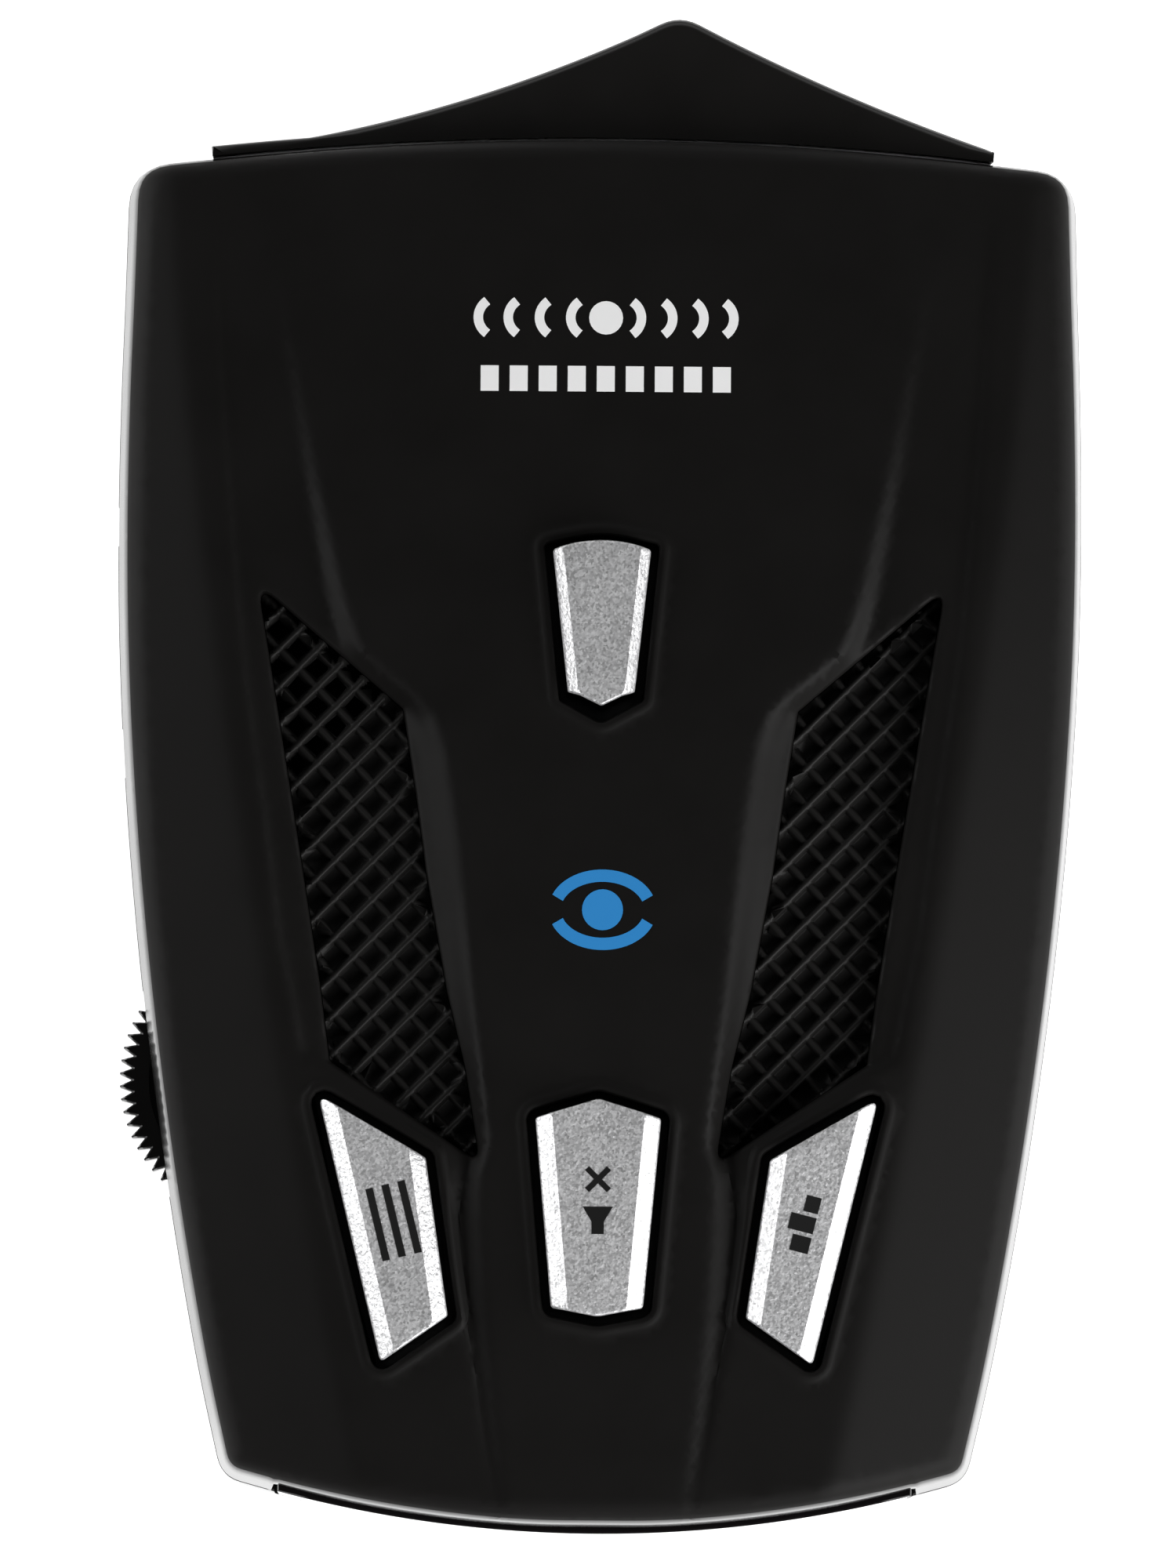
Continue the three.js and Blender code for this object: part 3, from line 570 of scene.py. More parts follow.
soft_touch = material("soft_touch_black", (0.0056, 0.0052, 0.0049), 0.55, grain=0.1, bump=0.4, depth=0.014,
                      Specular_IOR_Level=0.1)
moulded = material("moulded_black", (0.0060, 0.0058, 0.0056), 0.2, grain=0.2, bump=0.06, depth=0.01)
lattice_black = material("lattice_black", (0.0096, 0.0092, 0.0088), 0.5, grain=0.2, bump=0.08, depth=0.01,
                         Specular_IOR_Level=0.14)
gloss = material("gloss_black", (0.0070, 0.0065, 0.0061), 0.28, grain=0.3, bump=0.05, depth=0.01)
smoke = material("display_smoke", (0.0050, 0.0042, 0.0046), 0.06, grain=0.8, bump=0.02, depth=0.01)
silver = silver_paint()
board = material("circuit_board", (0.012, 0.075, 0.038), 0.4, grain=0.5, bump=0.1)
zinc = material("cast_zinc", (0.42, 0.43, 0.44), 0.45, 0.9, grain=0.25, bump=0.3)
steel = material("steel", (0.50, 0.51, 0.52), 0.28, 1.0, grain=0.1, bump=0.1)
package = material("chip_black", (0.016, 0.016, 0.018), 0.5, grain=0.08, bump=0.2)
lens = material("lens_red", (0.25, 0.01, 0.012), 0.06, grain=0.8, bump=0.02, Transmission_Weight=0.6)
paper = material("paper_cone", (0.022, 0.020, 0.018), 0.8, grain=0.15, bump=0.4)
foam = material("foam", (0.008, 0.008, 0.008), 0.9, grain=0.3, bump=0.6)
white_ink = material("white_ink", (0.95, 0.95, 0.95), 0.45, grain=0.08, bump=0.1, mottle=0.04)
blue_ink = material("blue_ink", (0.024, 0.235, 0.584), 0.45, grain=0.08, bump=0.1, mottle=0.05)
black_ink = material("black_ink", (0.006, 0.006, 0.006), 0.4, grain=0.08, bump=0.1)


def dress(target, surface, slot, body, *nodes):
    """Gives a finished piece its material and body, and hides the CAD nodes it stands for."""
    target.data.materials.clear()
    target.data.materials.append(surface)
    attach(target, body)
    if nodes:
        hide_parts(*nodes)
    return target


# ---------------------------------------------------------------- top cover


def cover_profile_loops():
    """The lines that the cover's triangles follow: edges, creases and rings round the openings."""
    rim = body_outline(-BRIM_INSET)
    corner = WINDOW["half"] + WINDOW_GAP
    ends = [(side * x, rear_y(x) + BRIM_INSET) for side in (-1, 1) for x in (corner - 0.03, corner + 0.03)]
    rim = with_points(rim, ends)
    loops = [rim]
    for part in (0.15, 0.35, 0.6, 1.0):
        loops.append(grown(rim, -EDGE_RADIUS * part))
    for corners, offsets in ((HOOD_EDGE, (0,)), (HOOD_FOOT, (0,)), (CREASE, (0, CREASE_WIDTH))):
        line = resampled(both_sides(corners), 0.7)
        inside = np.abs(line[:, 1]) < 58
        for offset in offsets:
            shifted = grown(line, offset)
            loops.append(shifted[inside])
    for name, loop in OPENINGS.items():
        offsets = (0, 0.1, LIP["radius"], LIP["flat"], 0.7, LIP["end"]) if name in BUTTONS else (0, 0.1, 0.3)
        loops += [grown(loop, offset) for offset in offsets]
    return rim, loops


def cover_plan(rim, loops):
    """The cover's points and triangles seen from above, with its openings left out."""
    scatter = away_from(grid_points((-36, -56), (36, 50), 0.55), loops, 0.25)
    flat, faces = triangulated(loops, scatter)
    centres = np.array([flat[list(face)].mean(0) for face in faces])
    keep = signed_distance(centres, rim) > 0
    for loop in OPENINGS.values():
        keep &= signed_distance(centres, loop) < 0
    faces = [face for face, kept in zip(faces, keep) if kept]
    used = sorted({v for face in faces for v in face})
    index = {v: i for i, v in enumerate(used)}
    return flat[used], [tuple(index[v] for v in face) for face in faces]


def cover_wall(top, rim, share):
    """A share of the way down the outer wall, which flares to the widest line and ends over the window."""
    nearest = np.array([np.argmin(((rim - p[:2]) ** 2).sum(1)) for p in top])
    over_window = (np.abs(top[:, 0]) < WINDOW["half"] + WINDOW_GAP) & (top[:, 1] < 0)
    foot = np.where(over_window, WINDOW["top"] + WINDOW_GAP, SPLIT_Z + SHELL_GAP)
    z = mix(top[:, 2], foot, share)
    fallen = (top[:, 2] - z) / (top[:, 2] - SPLIT_Z - SHELL_GAP)
    out = normals_of(rim)[nearest] * (BRIM_INSET - 0.05) * fallen[:, None]
    return np.column_stack([top[:, :2] + out, z])


def polish_wall(cover, rim):
    """The outer wall is bare plastic, glossier than the coated top."""
    cover.data.materials.append(moulded)
    centres = np.array([polygon.center[:2] for polygon in cover.data.polygons]) / MM
    beside_rim = signed_distance(centres, rim) < 0.6
    for polygon, beside in zip(cover.data.polygons, beside_rim):
        if beside and polygon.normal.z < 0.45:
            polygon.material_index = 1


def top_cover():
    rim, loops = cover_profile_loops()
    flat, faces = cover_plan(rim, loops)
    to_rim = np.maximum(signed_distance(flat, rim), 0)
    vertices = np.column_stack([flat, cover_height(flat) - rounded_over(to_rim, EDGE_RADIUS)])
    edges = open_edges(faces)
    outer = [(a, b) for a, b in edges if to_rim[a] < 0.02 and to_rim[b] < 0.02]
    inner = [edge for edge in edges if edge not in set(outer)]
    wall_rows = [partial(cover_wall, rim=rim, share=share) for share in (0.3, 0.65, 1.0)]
    vertices, faces, _ = skirted(vertices, faces, outer, wall_rows)
    opening_depth = 1.3
    vertices, faces, _ = skirted(vertices, faces, inner, [lambda top: top - (0, 0, opening_depth)])
    made = mesh_object("cover_shell", vertices, faces)
    add_modifier(made, "SOLIDIFY", thickness=1.2 * MM, offset=-1)
    bpy.context.view_layer.update()
    apply_modifiers(made)
    sharp_above(made, 38)
    dress(made, soft_touch, "soft_touch_black", "housing", "top_cover")
    polish_wall(made, rim)
    return made


# ---------------------------------------------------------------- grilles


def lattice_height(points, side):
    """Height of the diamond lattice above its floor."""
    x = points[:, 0] - side * LATTICE["centre"][0]
    y = points[:, 1] - LATTICE["centre"][1]
    pitch = LATTICE["pitch"]
    heights = []
    for across, tall in (((x + y) / math.sqrt(2), CROSS_RIB), ((x - y) / math.sqrt(2), 1)):
        from_rib = pitch / 2 - np.abs((across / pitch + 0.5) % 1 - 0.5) * pitch
        heights.append(tall * ramp(from_rib, *RIB_PROFILE))
    return np.maximum(*heights)


def is_open_cell(points, side):
    """The cells over the speaker go right through, at the left grille's forward end."""
    local = points - (side * LATTICE["centre"][0], LATTICE["centre"][1])
    pitch = LATTICE["pitch"]
    u = np.round((local[:, 0] + local[:, 1]) / math.sqrt(2) / pitch) * pitch
    v = np.round((local[:, 0] - local[:, 1]) / math.sqrt(2) / pitch) * pitch
    x = (u + v) / math.sqrt(2) + side * LATTICE["centre"][0]
    y = (u - v) / math.sqrt(2) + LATTICE["centre"][1]
    return (x < 0) & (x - y < -21.8)


def lattice_lines(low, high):
    """Places across the ribs where the lattice's surface bends, over a range."""
    pitch = LATTICE["pitch"]
    first = math.floor(low / pitch)
    last = math.ceil(high / pitch)
    half = [place for place, _ in RIB_PROFILE[1:]]
    steps = [-place for place in reversed(half)] + half
    return np.array([(n + 0.5) * pitch + step for n in range(first, last) for step in steps])


def grille(side, name):
    """A lattice panel: ribs and blind cells as one height field, closed by a flat back and walls."""
    corners = GRILLE if side > 0 else mirrored(GRILLE)
    rim = grown(resampled(rounded(corners, default_radius=20), 0.2), -0.06)
    offset = np.array([side * LATTICE["centre"][0], LATTICE["centre"][1]])
    local = rim - offset
    u = (local[:, 0] + local[:, 1]) / math.sqrt(2)
    v = (local[:, 0] - local[:, 1]) / math.sqrt(2)
    us, vs = np.meshgrid(lattice_lines(u.min(), u.max()), lattice_lines(v.min(), v.max()))
    crossing = np.column_stack([(us + vs).ravel() / math.sqrt(2), (us - vs).ravel() / math.sqrt(2)]) + offset
    rings = [rim] + [grown(rim, -inset) for inset in (0.15, 0.35)]
    crossing = away_from(crossing, rings, 0.05)
    crossing = crossing[signed_distance(crossing, rim) > 0.06]
    flat, faces = triangulated(rings, crossing)
    centres = np.array([flat[list(face)].mean(0) for face in faces])
    keep = signed_distance(centres, rim) > 0
    cell_floor = lattice_height(centres, side) < 0.02
    keep &= ~(cell_floor & is_open_cell(centres, side))
    faces = [face for face, kept in zip(faces, keep) if kept]
    level = crown(flat) + LATTICE["top"] - RIB_PROFILE[0][1]
    ribbed = np.column_stack([flat, level + lattice_height(flat, side)])
    back = np.column_stack([flat, level - LATTICE["thick"]])
    count = len(flat)
    walls = [(b, a, count + a, count + b) for a, b in open_edges(faces)]
    faces = faces + [tuple(count + v for v in reversed(face)) for face in faces] + walls
    made = mesh_object(name, np.vstack([ribbed, back]), faces)
    tidy(made, squares=True)
    sharp_above(made, 50)
    return dress(made, lattice_black, "moulded_black", "housing", name)


def tidy(target, squares=False):
    """Drops loose points and faces every face outwards; pairs of triangles may become squares."""
    work = bmesh.new()
    work.from_mesh(target.data)
    loose = [v for v in work.verts if not v.link_faces]
    bmesh.ops.delete(work, geom=loose, context="VERTS")
    bmesh.ops.recalc_face_normals(work, faces=work.faces)
    if squares:
        bmesh.ops.join_triangles(work, faces=work.faces, angle_face_threshold=1.2, angle_shape_threshold=0.6)
    work.to_mesh(target.data)
    work.free()


# ---------------------------------------------------------------- buttons


def cap_height(points, button):
    """A cap's top: level with the crown, with a falling facet along each side."""
    height = crown(points) + button["rise"]
    for start, end in button["sides"]:
        start, end = np.array(start), np.array(end)
        along = (end - start) / np.linalg.norm(end - start)
        inward = (points[:, 1] - start[1]) * along[0] - (points[:, 0] - start[0]) * along[1]
        height -= np.maximum(0, FACET_FALL * (1 - inward / button["facet"]))
    return height


def facet_lines(button, loop):
    """Points along the ridge between a cap's flat top and each facet."""
    ridges = []
    for start, end in button["sides"]:
        start, end = np.array(start), np.array(end)
        along = (end - start) / np.linalg.norm(end - start)
        inward = np.array([-along[1], along[0]])
        for spread in (-0.12, 0, 0.12):
            line = np.array([start + inward * (button["facet"] + spread) + along * t
                             for t in np.arange(-4, np.linalg.norm(end - start) + 4, 0.5)])
            ridges.append(line[signed_distance(line, loop) > 0.1])
    return ridges


def cap_top(button, rim):
    """The points and triangles of a cap's top, with its facets and rounded edge."""
    loops = [rim] + [grown(rim, -CAP_EDGE * part) for part in (0.3, 0.65, 1.0)]
    ridges = facet_lines(button, rim)
    scatter = away_from(grid_points(rim.min(0), rim.max(0), 0.6), loops + ridges, 0.25)
    scatter = np.vstack([scatter[signed_distance(scatter, rim) > 0.2]] + ridges)
    flat, faces = triangulated(loops, scatter)
    centres = np.array([flat[list(face)].mean(0) for face in faces])
    faces = [face for face, depth in zip(faces, signed_distance(centres, rim)) if depth > 0]
    inset = np.maximum(signed_distance(flat, rim), 0)
    return np.column_stack([flat, cap_height(flat, button) - rounded_over(inset, CAP_EDGE)]), faces


def cap_side_rows(centre):
    """The rows down a cap's side: the end of the paint, the base, the flange and the flange's foot."""
    flange_width = 1.0
    flange_thick = 0.5

    def painted(top):
        return top - (0, 0, PAINT_DEPTH)

    def straight(top):
        return np.column_stack([top[:, :2], np.full(len(top), CAP_BASE_Z)])

    def spread(top):
        out = top[:, :2] - centre
        out /= np.linalg.norm(out, axis=1)[:, None]
        return np.column_stack([top[:, :2] + out * flange_width, np.full(len(top), CAP_BASE_Z)])

    def foot(top):
        return spread(top) - (0, 0, flange_thick)

    return [painted, straight, spread, foot]


def button_cap(name):
    button = BUTTONS[name]
    rim = resampled(rounded(button["corners"], steps=5), 0.4)
    vertices, faces = cap_top(button, rim)
    edges = open_edges(faces)
    vertices, faces, below = skirted(vertices, faces, edges, cap_side_rows(rim.mean(0)))
    bottom = ordered_loop([(below[b], below[a]) for a, b in edges])
    faces.append(tuple(bottom))
    made = mesh_object(f"cap_{name}", vertices, faces)
    tidy(made)
    sharp_above(made, 28)
    dress(made, silver, "silver_paint", f"{name} button", f"button_{name}")
    made.data.materials.append(moulded)
    clearance = 0.6  # keeps every painted face above the limit
    bare_below = crown(rim).min() + button["rise"] - FACET_FALL - PAINT_DEPTH - clearance
    for polygon in made.data.polygons:
        if polygon.center.z < bare_below * MM:
            polygon.material_index = 1
    return made


def ordered_loop(edges):
    """The points of one closed run of directed edges, in order."""
    following = dict(edges)
    start = edges[0][0]
    loop = [start]
    while following[loop[-1]] != start:
        loop.append(following[loop[-1]])
    return loop


# ---------------------------------------------------------------- bottom cover


def lower_shell(top):
    """An open tray with a rounded foot and eased edges along its top."""
    foot_radius = 1.8
    rings = []
    for k in range(7):
        angle = math.pi / 2 * k / 6
        inset = foot_radius * (1 - math.sin(angle))
        rings.append((body_outline(-inset), foot_radius * (1 - math.cos(angle))))
    rings += [(body_outline(0), 8), (body_outline(0), top - 0.15), (body_outline(-0.15), top)]
    rings += [(body_outline(-WALL + 0.1), top), (body_outline(-WALL), top - 0.1)]
    rings += [(body_outline(-WALL), FLOOR)]
    return stacked("lower_shell", rings)


def bottom_cover():
    top = SPLIT_Z - SHELL_GAP
    made = lower_shell(top)
    for x, y in CASE_SCREWS:
        cut(made, cylinder(x, y, 1, top - 0.2, SCREW_BOSS["radius"]), "UNION")
    for x, y in CASE_SCREWS:
        cut(made, cylinder(x, y, -1, SCREW_BOSS["head_depth"], SCREW_BOSS["head_radius"]))
        cut(made, cylinder(x, y, -1, top + 1, SCREW_BOSS["shank_radius"]))
    cut(made, cylinder(WHEEL["x"], WHEEL["y"], WHEEL["bottom"] - 0.5, top + 1, WHEEL["radius"] + 0.5, 96))
    cut(made, socket_panel())
    for y, radius in SOCKET_HOLES:
        cut(made, lying_cylinder(-40, -30, y, SOCKET_Z, radius))
    half = WINDOW["half"] + WINDOW_GAP
    cut(made, block((-half, -60, WINDOW["bottom"] - WINDOW_GAP), (half, -49, WINDOW["top"])))
    half = BRACKET["width"] / 2
    cut(made, block((-half, 43, BRACKET["bottom"]), (half, 51, BRACKET["bottom"] + BRACKET["tall"])))
    label = rounded([(-17, -36, 1.5), (17, -36, 1.5), (17, -10, 1.5), (-17, -10, 1.5)])
    cut(made, stacked("label", [(label, -1), (label, 0.3)]))
    tidy(made)
    sharp_above(made, 30)
    return dress(made, moulded, "moulded_black", "housing", "bottom_cover")


def socket_panel():
    """A shallow recess in the left wall round the two sockets."""
    depth = 0.35
    outer = [(side_x(y), y) for y in np.linspace(-3.4, 24, 12)]
    points = [(-(x - depth), y) for x, y in outer] + [(-(x + 3), y) for x, y in reversed(outer)]
    loop = np.array(points)[::-1]
    return stacked("panel", [(loop, SOCKET_Z - 5), (loop, SPLIT_Z + 1)], smooth=False)


# ---------------------------------------------------------------- visor and display window


def visor_left_y(x):
    """The visor's front edge to the left of its peak."""
    return 46.65 + 0.14 * (x + 27) + 0.0054 * (x + 27) ** 2


def visor_right_y(x):
    """The visor's front edge to the right of its peak."""
    return 47.1 + 0.345 * (28.2 - x) + 0.0041 * (28.2 - x) ** 2


def clear_of_body(x, y):
    """The place y, or as far ahead of the front wall as the visor's thin ends reach."""
    thin_end = 0.45
    return max(y, front_y(x) + thin_end)


def visor_outline():
    left, right, peak, bend = VISOR["left"], VISOR["right"], VISOR["peak"], VISOR["peak_radius"]
    back = [(x, front_y(x) + VISOR_GAP) for x in np.linspace(left + 0.1, right - 0.1, 60)]
    edge = [(right, clear_of_body(right, 46.3), 0.1), (right - 0.1, clear_of_body(right, 46.7), 0.3)]
    edge += [(x, clear_of_body(x, visor_right_y(x))) for x in np.linspace(28.2, peak + bend, 40)]
    edge += [(peak, visor_right_y(peak), bend)]
    edge += [(x, clear_of_body(x, visor_left_y(x))) for x in np.linspace(peak - bend, left + 1, 50)]
    edge += [(left, clear_of_body(left, 46.7), 0.1)]
    return resampled(rounded(back + edge), 0.3)


def visor_rings(outline):
    """The visor's rings from the bottom up, with a rounded bevel along both of its front edges."""
    bottom, top, bevel = VISOR["bottom"], VISOR["top"], VISOR["bevel"]
    room = outline[:, 1] - np.array([front_y(x) for x in outline[:, 0]]) - VISOR_GAP
    share = np.clip(0.7 * room / bevel, 0, 1)  # the thin ends get a smaller bevel
    edge_normals = normals_of(outline) * share[:, None]
    lower = []
    upper = []
    for turn in np.radians((0, 22.5, 45, 67.5, 90)):
        less_sine = bevel * (1 - math.sin(turn))
        less_cosine = bevel * (1 - math.cos(turn))
        lower.append((outline - edge_normals * less_sine, bottom + less_cosine))
        upper.append((outline - edge_normals * less_cosine, top - less_sine))
    return lower + [(outline, mix(bottom, top, 0.5))] + upper


def front_visor():
    bottom, top = VISOR["bottom"], VISOR["top"]
    made = stacked("visor", visor_rings(visor_outline()))
    lean = 0.45  # the back follows the cover's wall inwards by this much
    fall = 0.1  # the top falls by this much for each millimetre ahead
    for vertex in made.data.vertices:
        x, y, z = (c / MM for c in vertex.co)
        if y < front_y(x) + 0.2:
            vertex.co.y -= lean * MM * np.clip((z - SPLIT_Z) / (top - SPLIT_Z), 0, 1)
        ahead = max(0, vertex.co.y / MM - 45.5)
        vertex.co.z -= fall * ahead * MM * np.clip((vertex.co.z / MM - bottom) / (top - bottom), 0, 1)
    sharp_above(made, 30)
    return dress(made, gloss, "gloss_black", "housing", "front_visor")


def display_window():
    xs = np.linspace(-WINDOW["half"], WINDOW["half"], 40)
    outer = [(x, rear_y(x) + 0.04) for x in xs]
    inner = [(x, rear_y(x) + WINDOW["thick"]) for x in xs[::-1]]
    loop = np.array(outer + inner)
    chamfer = 0.12
    shrunk = grown(loop, -chamfer)
    bottom, top = WINDOW["bottom"], WINDOW["top"]
    rings = [(shrunk, bottom), (loop, bottom + chamfer), (loop, top - chamfer), (shrunk, top)]
    made = stacked("window_pane", rings)
    sharp_above(made, 40)
    return dress(made, smoke, "display_smoke", "housing", "display_window")


# ---------------------------------------------------------------- thumbwheel


def toothed_loop():
    """The wheel's edge: each tooth has a narrow flat tip and a narrow flat root."""
    tip = WHEEL["radius"] - 0.05
    root = WHEEL["radius"] - WHEEL["tooth"]
    loop = []
    for i in range(WHEEL["teeth"]):
        for share, radius in ((-0.06, tip), (0.06, tip), (0.44, root), (0.56, root)):
            angle = 2 * math.pi * (i + share) / WHEEL["teeth"]
            loop.append((WHEEL["x"] + radius * math.cos(angle), WHEEL["y"] + radius * math.sin(angle)))
    return np.array(loop)


def thumbwheel():
    loop = toothed_loop()
    centre = np.array([WHEEL["x"], WHEEL["y"]])
    inner = centre + (loop - centre) * 0.975
    bottom, top = WHEEL["bottom"], WHEEL["bottom"] + WHEEL["thick"]
    rings = [(inner, bottom), (loop, bottom + 0.25), (loop, top - 0.25), (inner, top)]
    made = stacked("toothed_wheel", rings, smooth=False)
    upper_hollow, lower_hollow, bore = 8.2, 7.6, 2.05
    cut(made, cylinder(*centre, top - 0.5, top + 1, upper_hollow, 64))
    cut(made, cylinder(*centre, bottom - 1, bottom + 0.8, lower_hollow, 64))
    cut(made, cylinder(*centre, bottom - 1, top + 1, bore, 32))
    sharp_above(made, 25)
    return dress(made, moulded, "moulded_black", "volume wheel", "thumbwheel")


# ---------------------------------------------------------------- inner pieces


def inner_pieces():
    """Pieces inside the housing keep their CAD shape and get their surfaces."""
    surfaces = {"circuit_board": board, "cast_zinc": zinc, "steel": steel, "chip_black": package,
                "lens_red": lens, "paper_cone": paper, "foam": foam, "gloss_black": gloss}
    slots = {part["node"]: part["material_slot"] for part in frame["record"]["subparts"]}
    for name, node in frame["nodes"].items():
        if not node.hide_render and slots[name] in surfaces:
            node.data.materials.clear()
            node.data.materials.append(surfaces[slots[name]])


# ---------------------------------------------------------------- prints


def bar(x, y, width, tall):
    """A rectangle about its centre."""
    half, high = width / 2, tall / 2
    return np.array([(x - half, y - high), (x + half, y - high), (x + half, y + high), (x - half, y + high)])


def stroke(points, width):
    """A band of even width along an open run of points."""
    points = np.array(points, float)
    along = np.gradient(points, axis=0)
    along /= np.linalg.norm(along, axis=1)[:, None]
    side = np.column_stack([along[:, 1], -along[:, 0]]) * width / 2
    return np.vstack([points + side, (points - side)[::-1]])


def arc(x, y, radius_x, radius_y, start, end, steps=16):
    angles = np.radians(np.linspace(start, end, steps))
    return np.column_stack([x + radius_x * np.cos(angles), y + radius_y * np.sin(angles)])


def turned_about(shapes, x, y, degrees):
    """Shapes drawn round the origin, turned and set down at a place."""
    turn = math.radians(degrees)
    spin = np.array([[math.cos(turn), math.sin(turn)], [-math.sin(turn), math.cos(turn)]])
    return [shape @ spin + (x, y) for shape in shapes]


def printed(name, shapes, height, ink, slot, body, clear=0.025):
    """Ink lying on a surface: each closed shape becomes a thin raised patch that follows the height."""
    vertices = []
    faces = []
    for shape in shapes:
        ahead = np.roll(shape, -1, 0)
        if np.sum(shape[:, 0] * ahead[:, 1] - ahead[:, 0] * shape[:, 1]) < 0:
            shape = shape[::-1]
        outline = resampled(shape, 0.5)
        inner = away_from(grid_points(outline.min(0), outline.max(0), 0.5), [outline], 0.2)
        inner = inner[signed_distance(inner, outline) > 0.1] if len(inner) else inner
        flat, patch = triangulated([outline], inner)
        centres = np.array([flat[list(face)].mean(0) for face in patch])
        patch = [face for face, depth in zip(patch, signed_distance(centres, outline)) if depth > 0]
        top = np.column_stack([flat, height(flat) + clear])
        walled, patch, _ = skirted(top, patch, open_edges(patch), [lambda rim: rim - (0, 0, clear + 0.02)])
        faces += [tuple(v + len(vertices) for v in face) for face in patch]
        vertices += walled
    return dress(mesh_object(name, vertices, faces, smooth=False), ink, slot, body)


def wave_mark(x, y):
    """A dot between widening arcs, the usual sign for a signal."""
    shapes = [arc(x, y, 1.25, 1.25, 0, 345, 24)]
    for reach in (2.6, 4.9, 7.2, 9.4):
        for side, start in ((1, -52), (-1, 128)):
            shapes.append(stroke(arc(x + side * (reach - 1.7), y, 1.7, 1.55, start, start + 104), 0.7))
    return shapes


def level_mark(x, y):
    """A row of blocks, like a level meter's scale."""
    count = 9
    pitch = 19.2 / count
    return [bar(x + (i - (count - 1) / 2) * pitch, y, pitch * 0.62, 1.9) for i in range(count)]


def target_mark(x, y):
    """A plain dot inside a broken ring."""
    shapes = [arc(x, y, 1.5, 1.5, 0, 350, 32)]
    for start in (20, 200):
        shapes.append(stroke(arc(x, y, 3.5, 2.5, start, start + 140, 24), 0.9))
    return shapes


def menu_mark():
    """Three list lines."""
    return [bar(x, 0, 0.55, 5.4) for x in (-1.2, 0, 1.2)]


def mute_mark():
    """A loudspeaker with a cross beside it, lying along the button."""
    horn = np.array([(-0.45, -2.6), (0.45, -2.6), (0.45, -1.7), (1.1, -0.6), (-1.1, -0.6), (-0.45, -1.7)])
    cross = [stroke([(-0.8, 0.6), (0.8, 2.2)], 0.42), stroke([(-0.8, 2.2), (-0.16, 1.56)], 0.42)]
    return [horn] + cross + [stroke([(0.16, 1.24), (0.8, 0.6)], 0.42)]


def city_mark():
    """Three buildings of different height."""
    return [bar(0.1, -1.5, 1.4, 1.2), bar(-0.15, 0, 1.9, 1.2), bar(0.25, 1.5, 1.1, 1.2)]


def prints():
    """Plain marks: two white and one blue on the cover, and a black one on each lower button."""
    on_cover = {"print_wave": (wave_mark(0.2, 33.9), white_ink),
                "print_level": (level_mark(0.2, 29.35), white_ink),
                "print_target": (target_mark(0.2, -9.85), blue_ink)}
    for name, (shapes, ink) in on_cover.items():
        printed(name, shapes, cover_height, ink, "soft_touch_black", "housing")
    on_buttons = {"menu": (menu_mark(), -14.9, -32.7, 14), "mute": (mute_mark(), 0, -31, 0),
                  "city": (city_mark(), 15.1, -32.7, -14)}
    for name, (shapes, x, y, lean) in on_buttons.items():
        height = partial(cap_height, button=BUTTONS[name])
        printed(f"print_{name}", turned_about(shapes, x, y, lean), height, black_ink, "silver_paint",
                f"{name} button")


# ---------------------------------------------------------------- stage, light and camera


# Each soft light: its place and its size in metres, and its power in watts.
LIGHTS = {
    "left": ((-0.62, 0.1, 0.2), (0.7, 0.3), 3.6),
    "right": ((0.58, -0.25, 0.24), (0.7, 0.3), 5),
    "corner": ((0.42, -0.5, 0.42), (0.4, 0.4), 2.6),
    "back": ((0.0, 0.7, 0.4), (0.9, 0.4), 1.2),
    "front": ((0.0, -0.75, 0.45), (0.9, 0.4), 1.5),
}
CAMERA = {"place": (-13, -69, 1100), "aim": (-0.9, -0.5, 26), "tall": 115.0, "roll": 0.4}


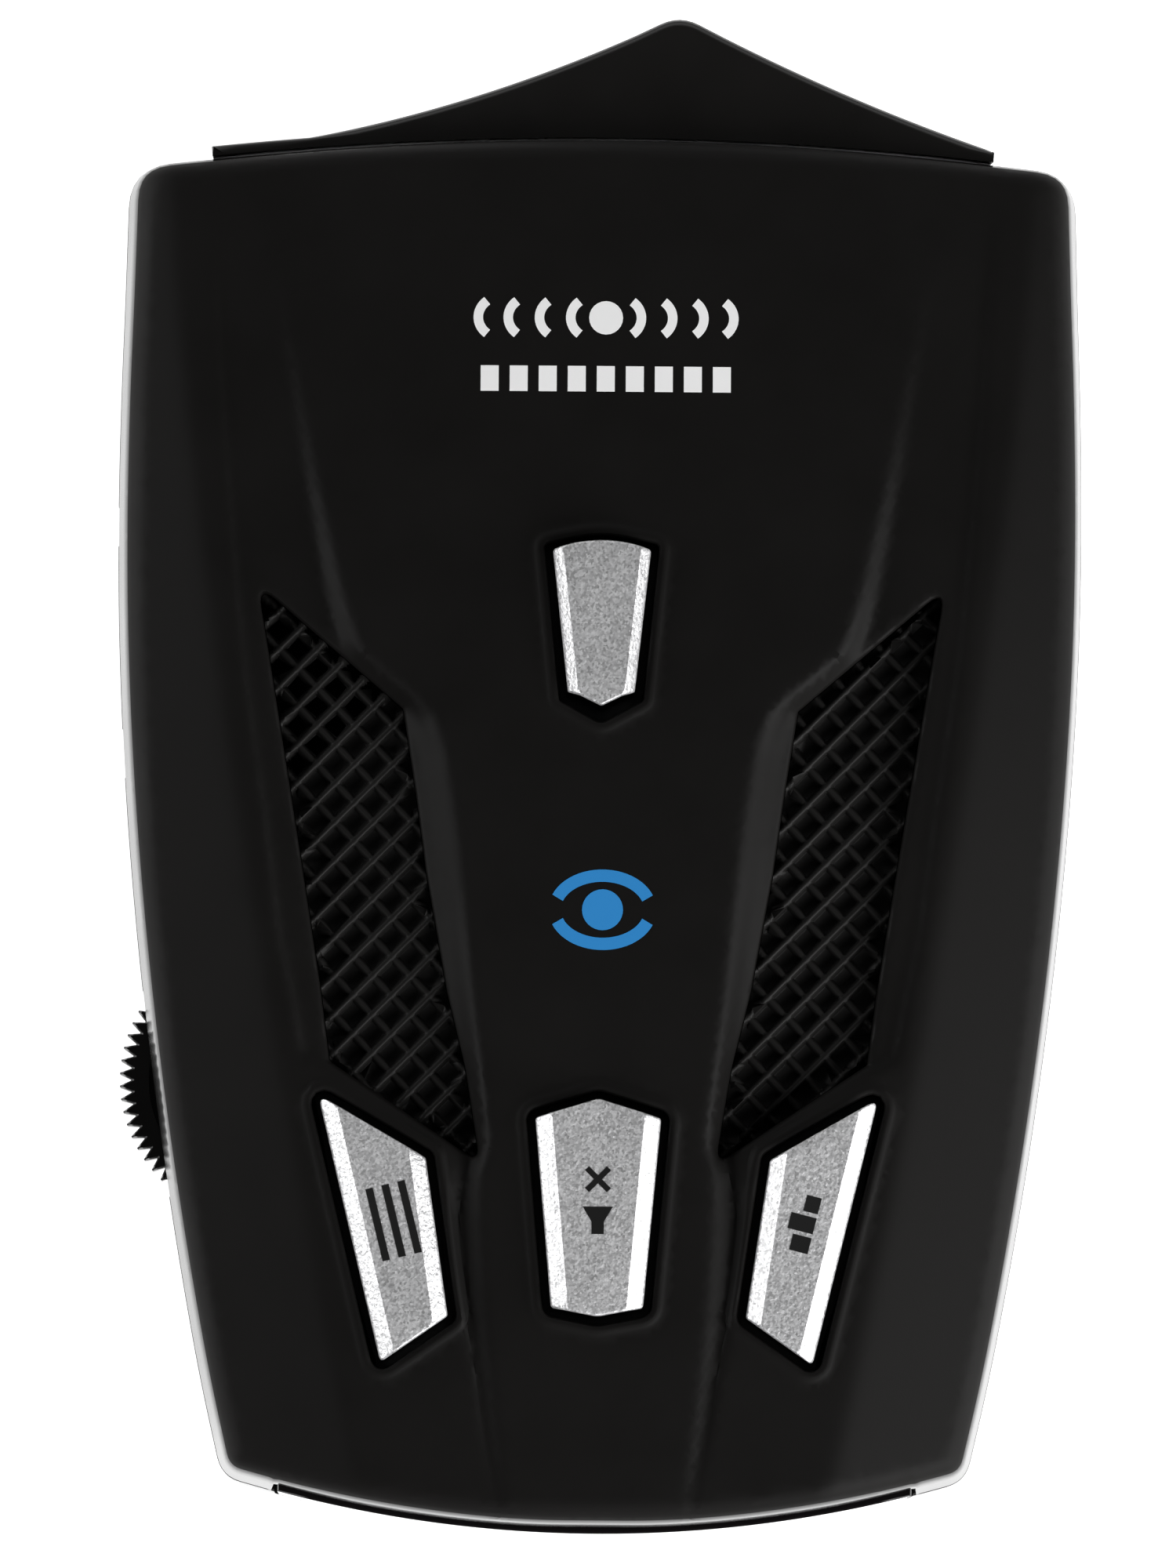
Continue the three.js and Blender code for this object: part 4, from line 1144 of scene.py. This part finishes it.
def area_light(name, place, size, power):
    data = bpy.data.lights.new(name, "AREA")
    data.shape = "RECTANGLE"
    data.size, data.size_y = size
    data.energy = power
    made = bpy.data.objects.new(name, data)
    made.location = place
    aim = Vector((0, 0, 0.02))
    made.rotation_euler = (aim - Vector(place)).to_track_quat("-Z", "Y").to_euler()
    bpy.context.scene.collection.objects.link(made)


def stage():
    """A plain pale floor just under the detector, a dim world and five soft lights."""
    half = 3000
    corners = [(-half, -half, -0.05), (half, -half, -0.05), (half, half, -0.05), (-half, half, -0.05)]
    floor = mesh_object("floor", corners, [(0, 1, 2, 3)])
    paper_white = bpy.data.materials.new("paper_white")
    paper_white.use_nodes = True
    shader = paper_white.node_tree.nodes["Principled BSDF"]
    shader.inputs["Base Color"].default_value = (0.9, 0.9, 0.9, 1)
    shader.inputs["Roughness"].default_value = 0.9
    shader.inputs["Emission Color"].default_value = (1, 1, 1, 1)
    shader.inputs["Emission Strength"].default_value = 0.9
    floor.data.materials.append(paper_white)
    world = bpy.data.worlds.new("studio")
    world.use_nodes = True
    world.node_tree.nodes["Background"].inputs["Color"].default_value = (0.02, 0.02, 0.02, 1)
    bpy.context.scene.world = world
    for name, (place, size, power) in LIGHTS.items():
        area_light(name, place, size, power)


def camera():
    """Looks down on the cover from just behind and to the left of straight above."""
    data = bpy.data.cameras.new("camera")
    made = bpy.data.objects.new("camera", data)
    place = Vector(CAMERA["place"]) * MM
    aim = Vector(CAMERA["aim"]) * MM
    away = (place - aim).normalized()
    right = Vector((0, 1, 0)).cross(away).normalized()
    up = away.cross(right)
    look = Matrix((right, up, away)).transposed().to_4x4()
    roll = Matrix.Rotation(math.radians(CAMERA["roll"]), 4, "Z")
    made.matrix_world = Matrix.Translation(place) @ look @ roll
    data.sensor_width = 36
    data.lens = data.sensor_width * (aim - place).length / (CAMERA["tall"] * MM)
    data.clip_start = 0.05
    data.clip_end = 20
    bpy.context.scene.collection.objects.link(made)
    bpy.context.scene.camera = made
    bpy.context.scene.view_settings.view_transform = "Standard"


# ---------------------------------------------------------------- assembly

top_cover()
grille(1, "grille_right")
grille(-1, "grille_left")
for button_name in BUTTONS:
    button_cap(button_name)
bottom_cover()
front_visor()
display_window()
thumbwheel()
prints()
inner_pieces()
stage()
camera()
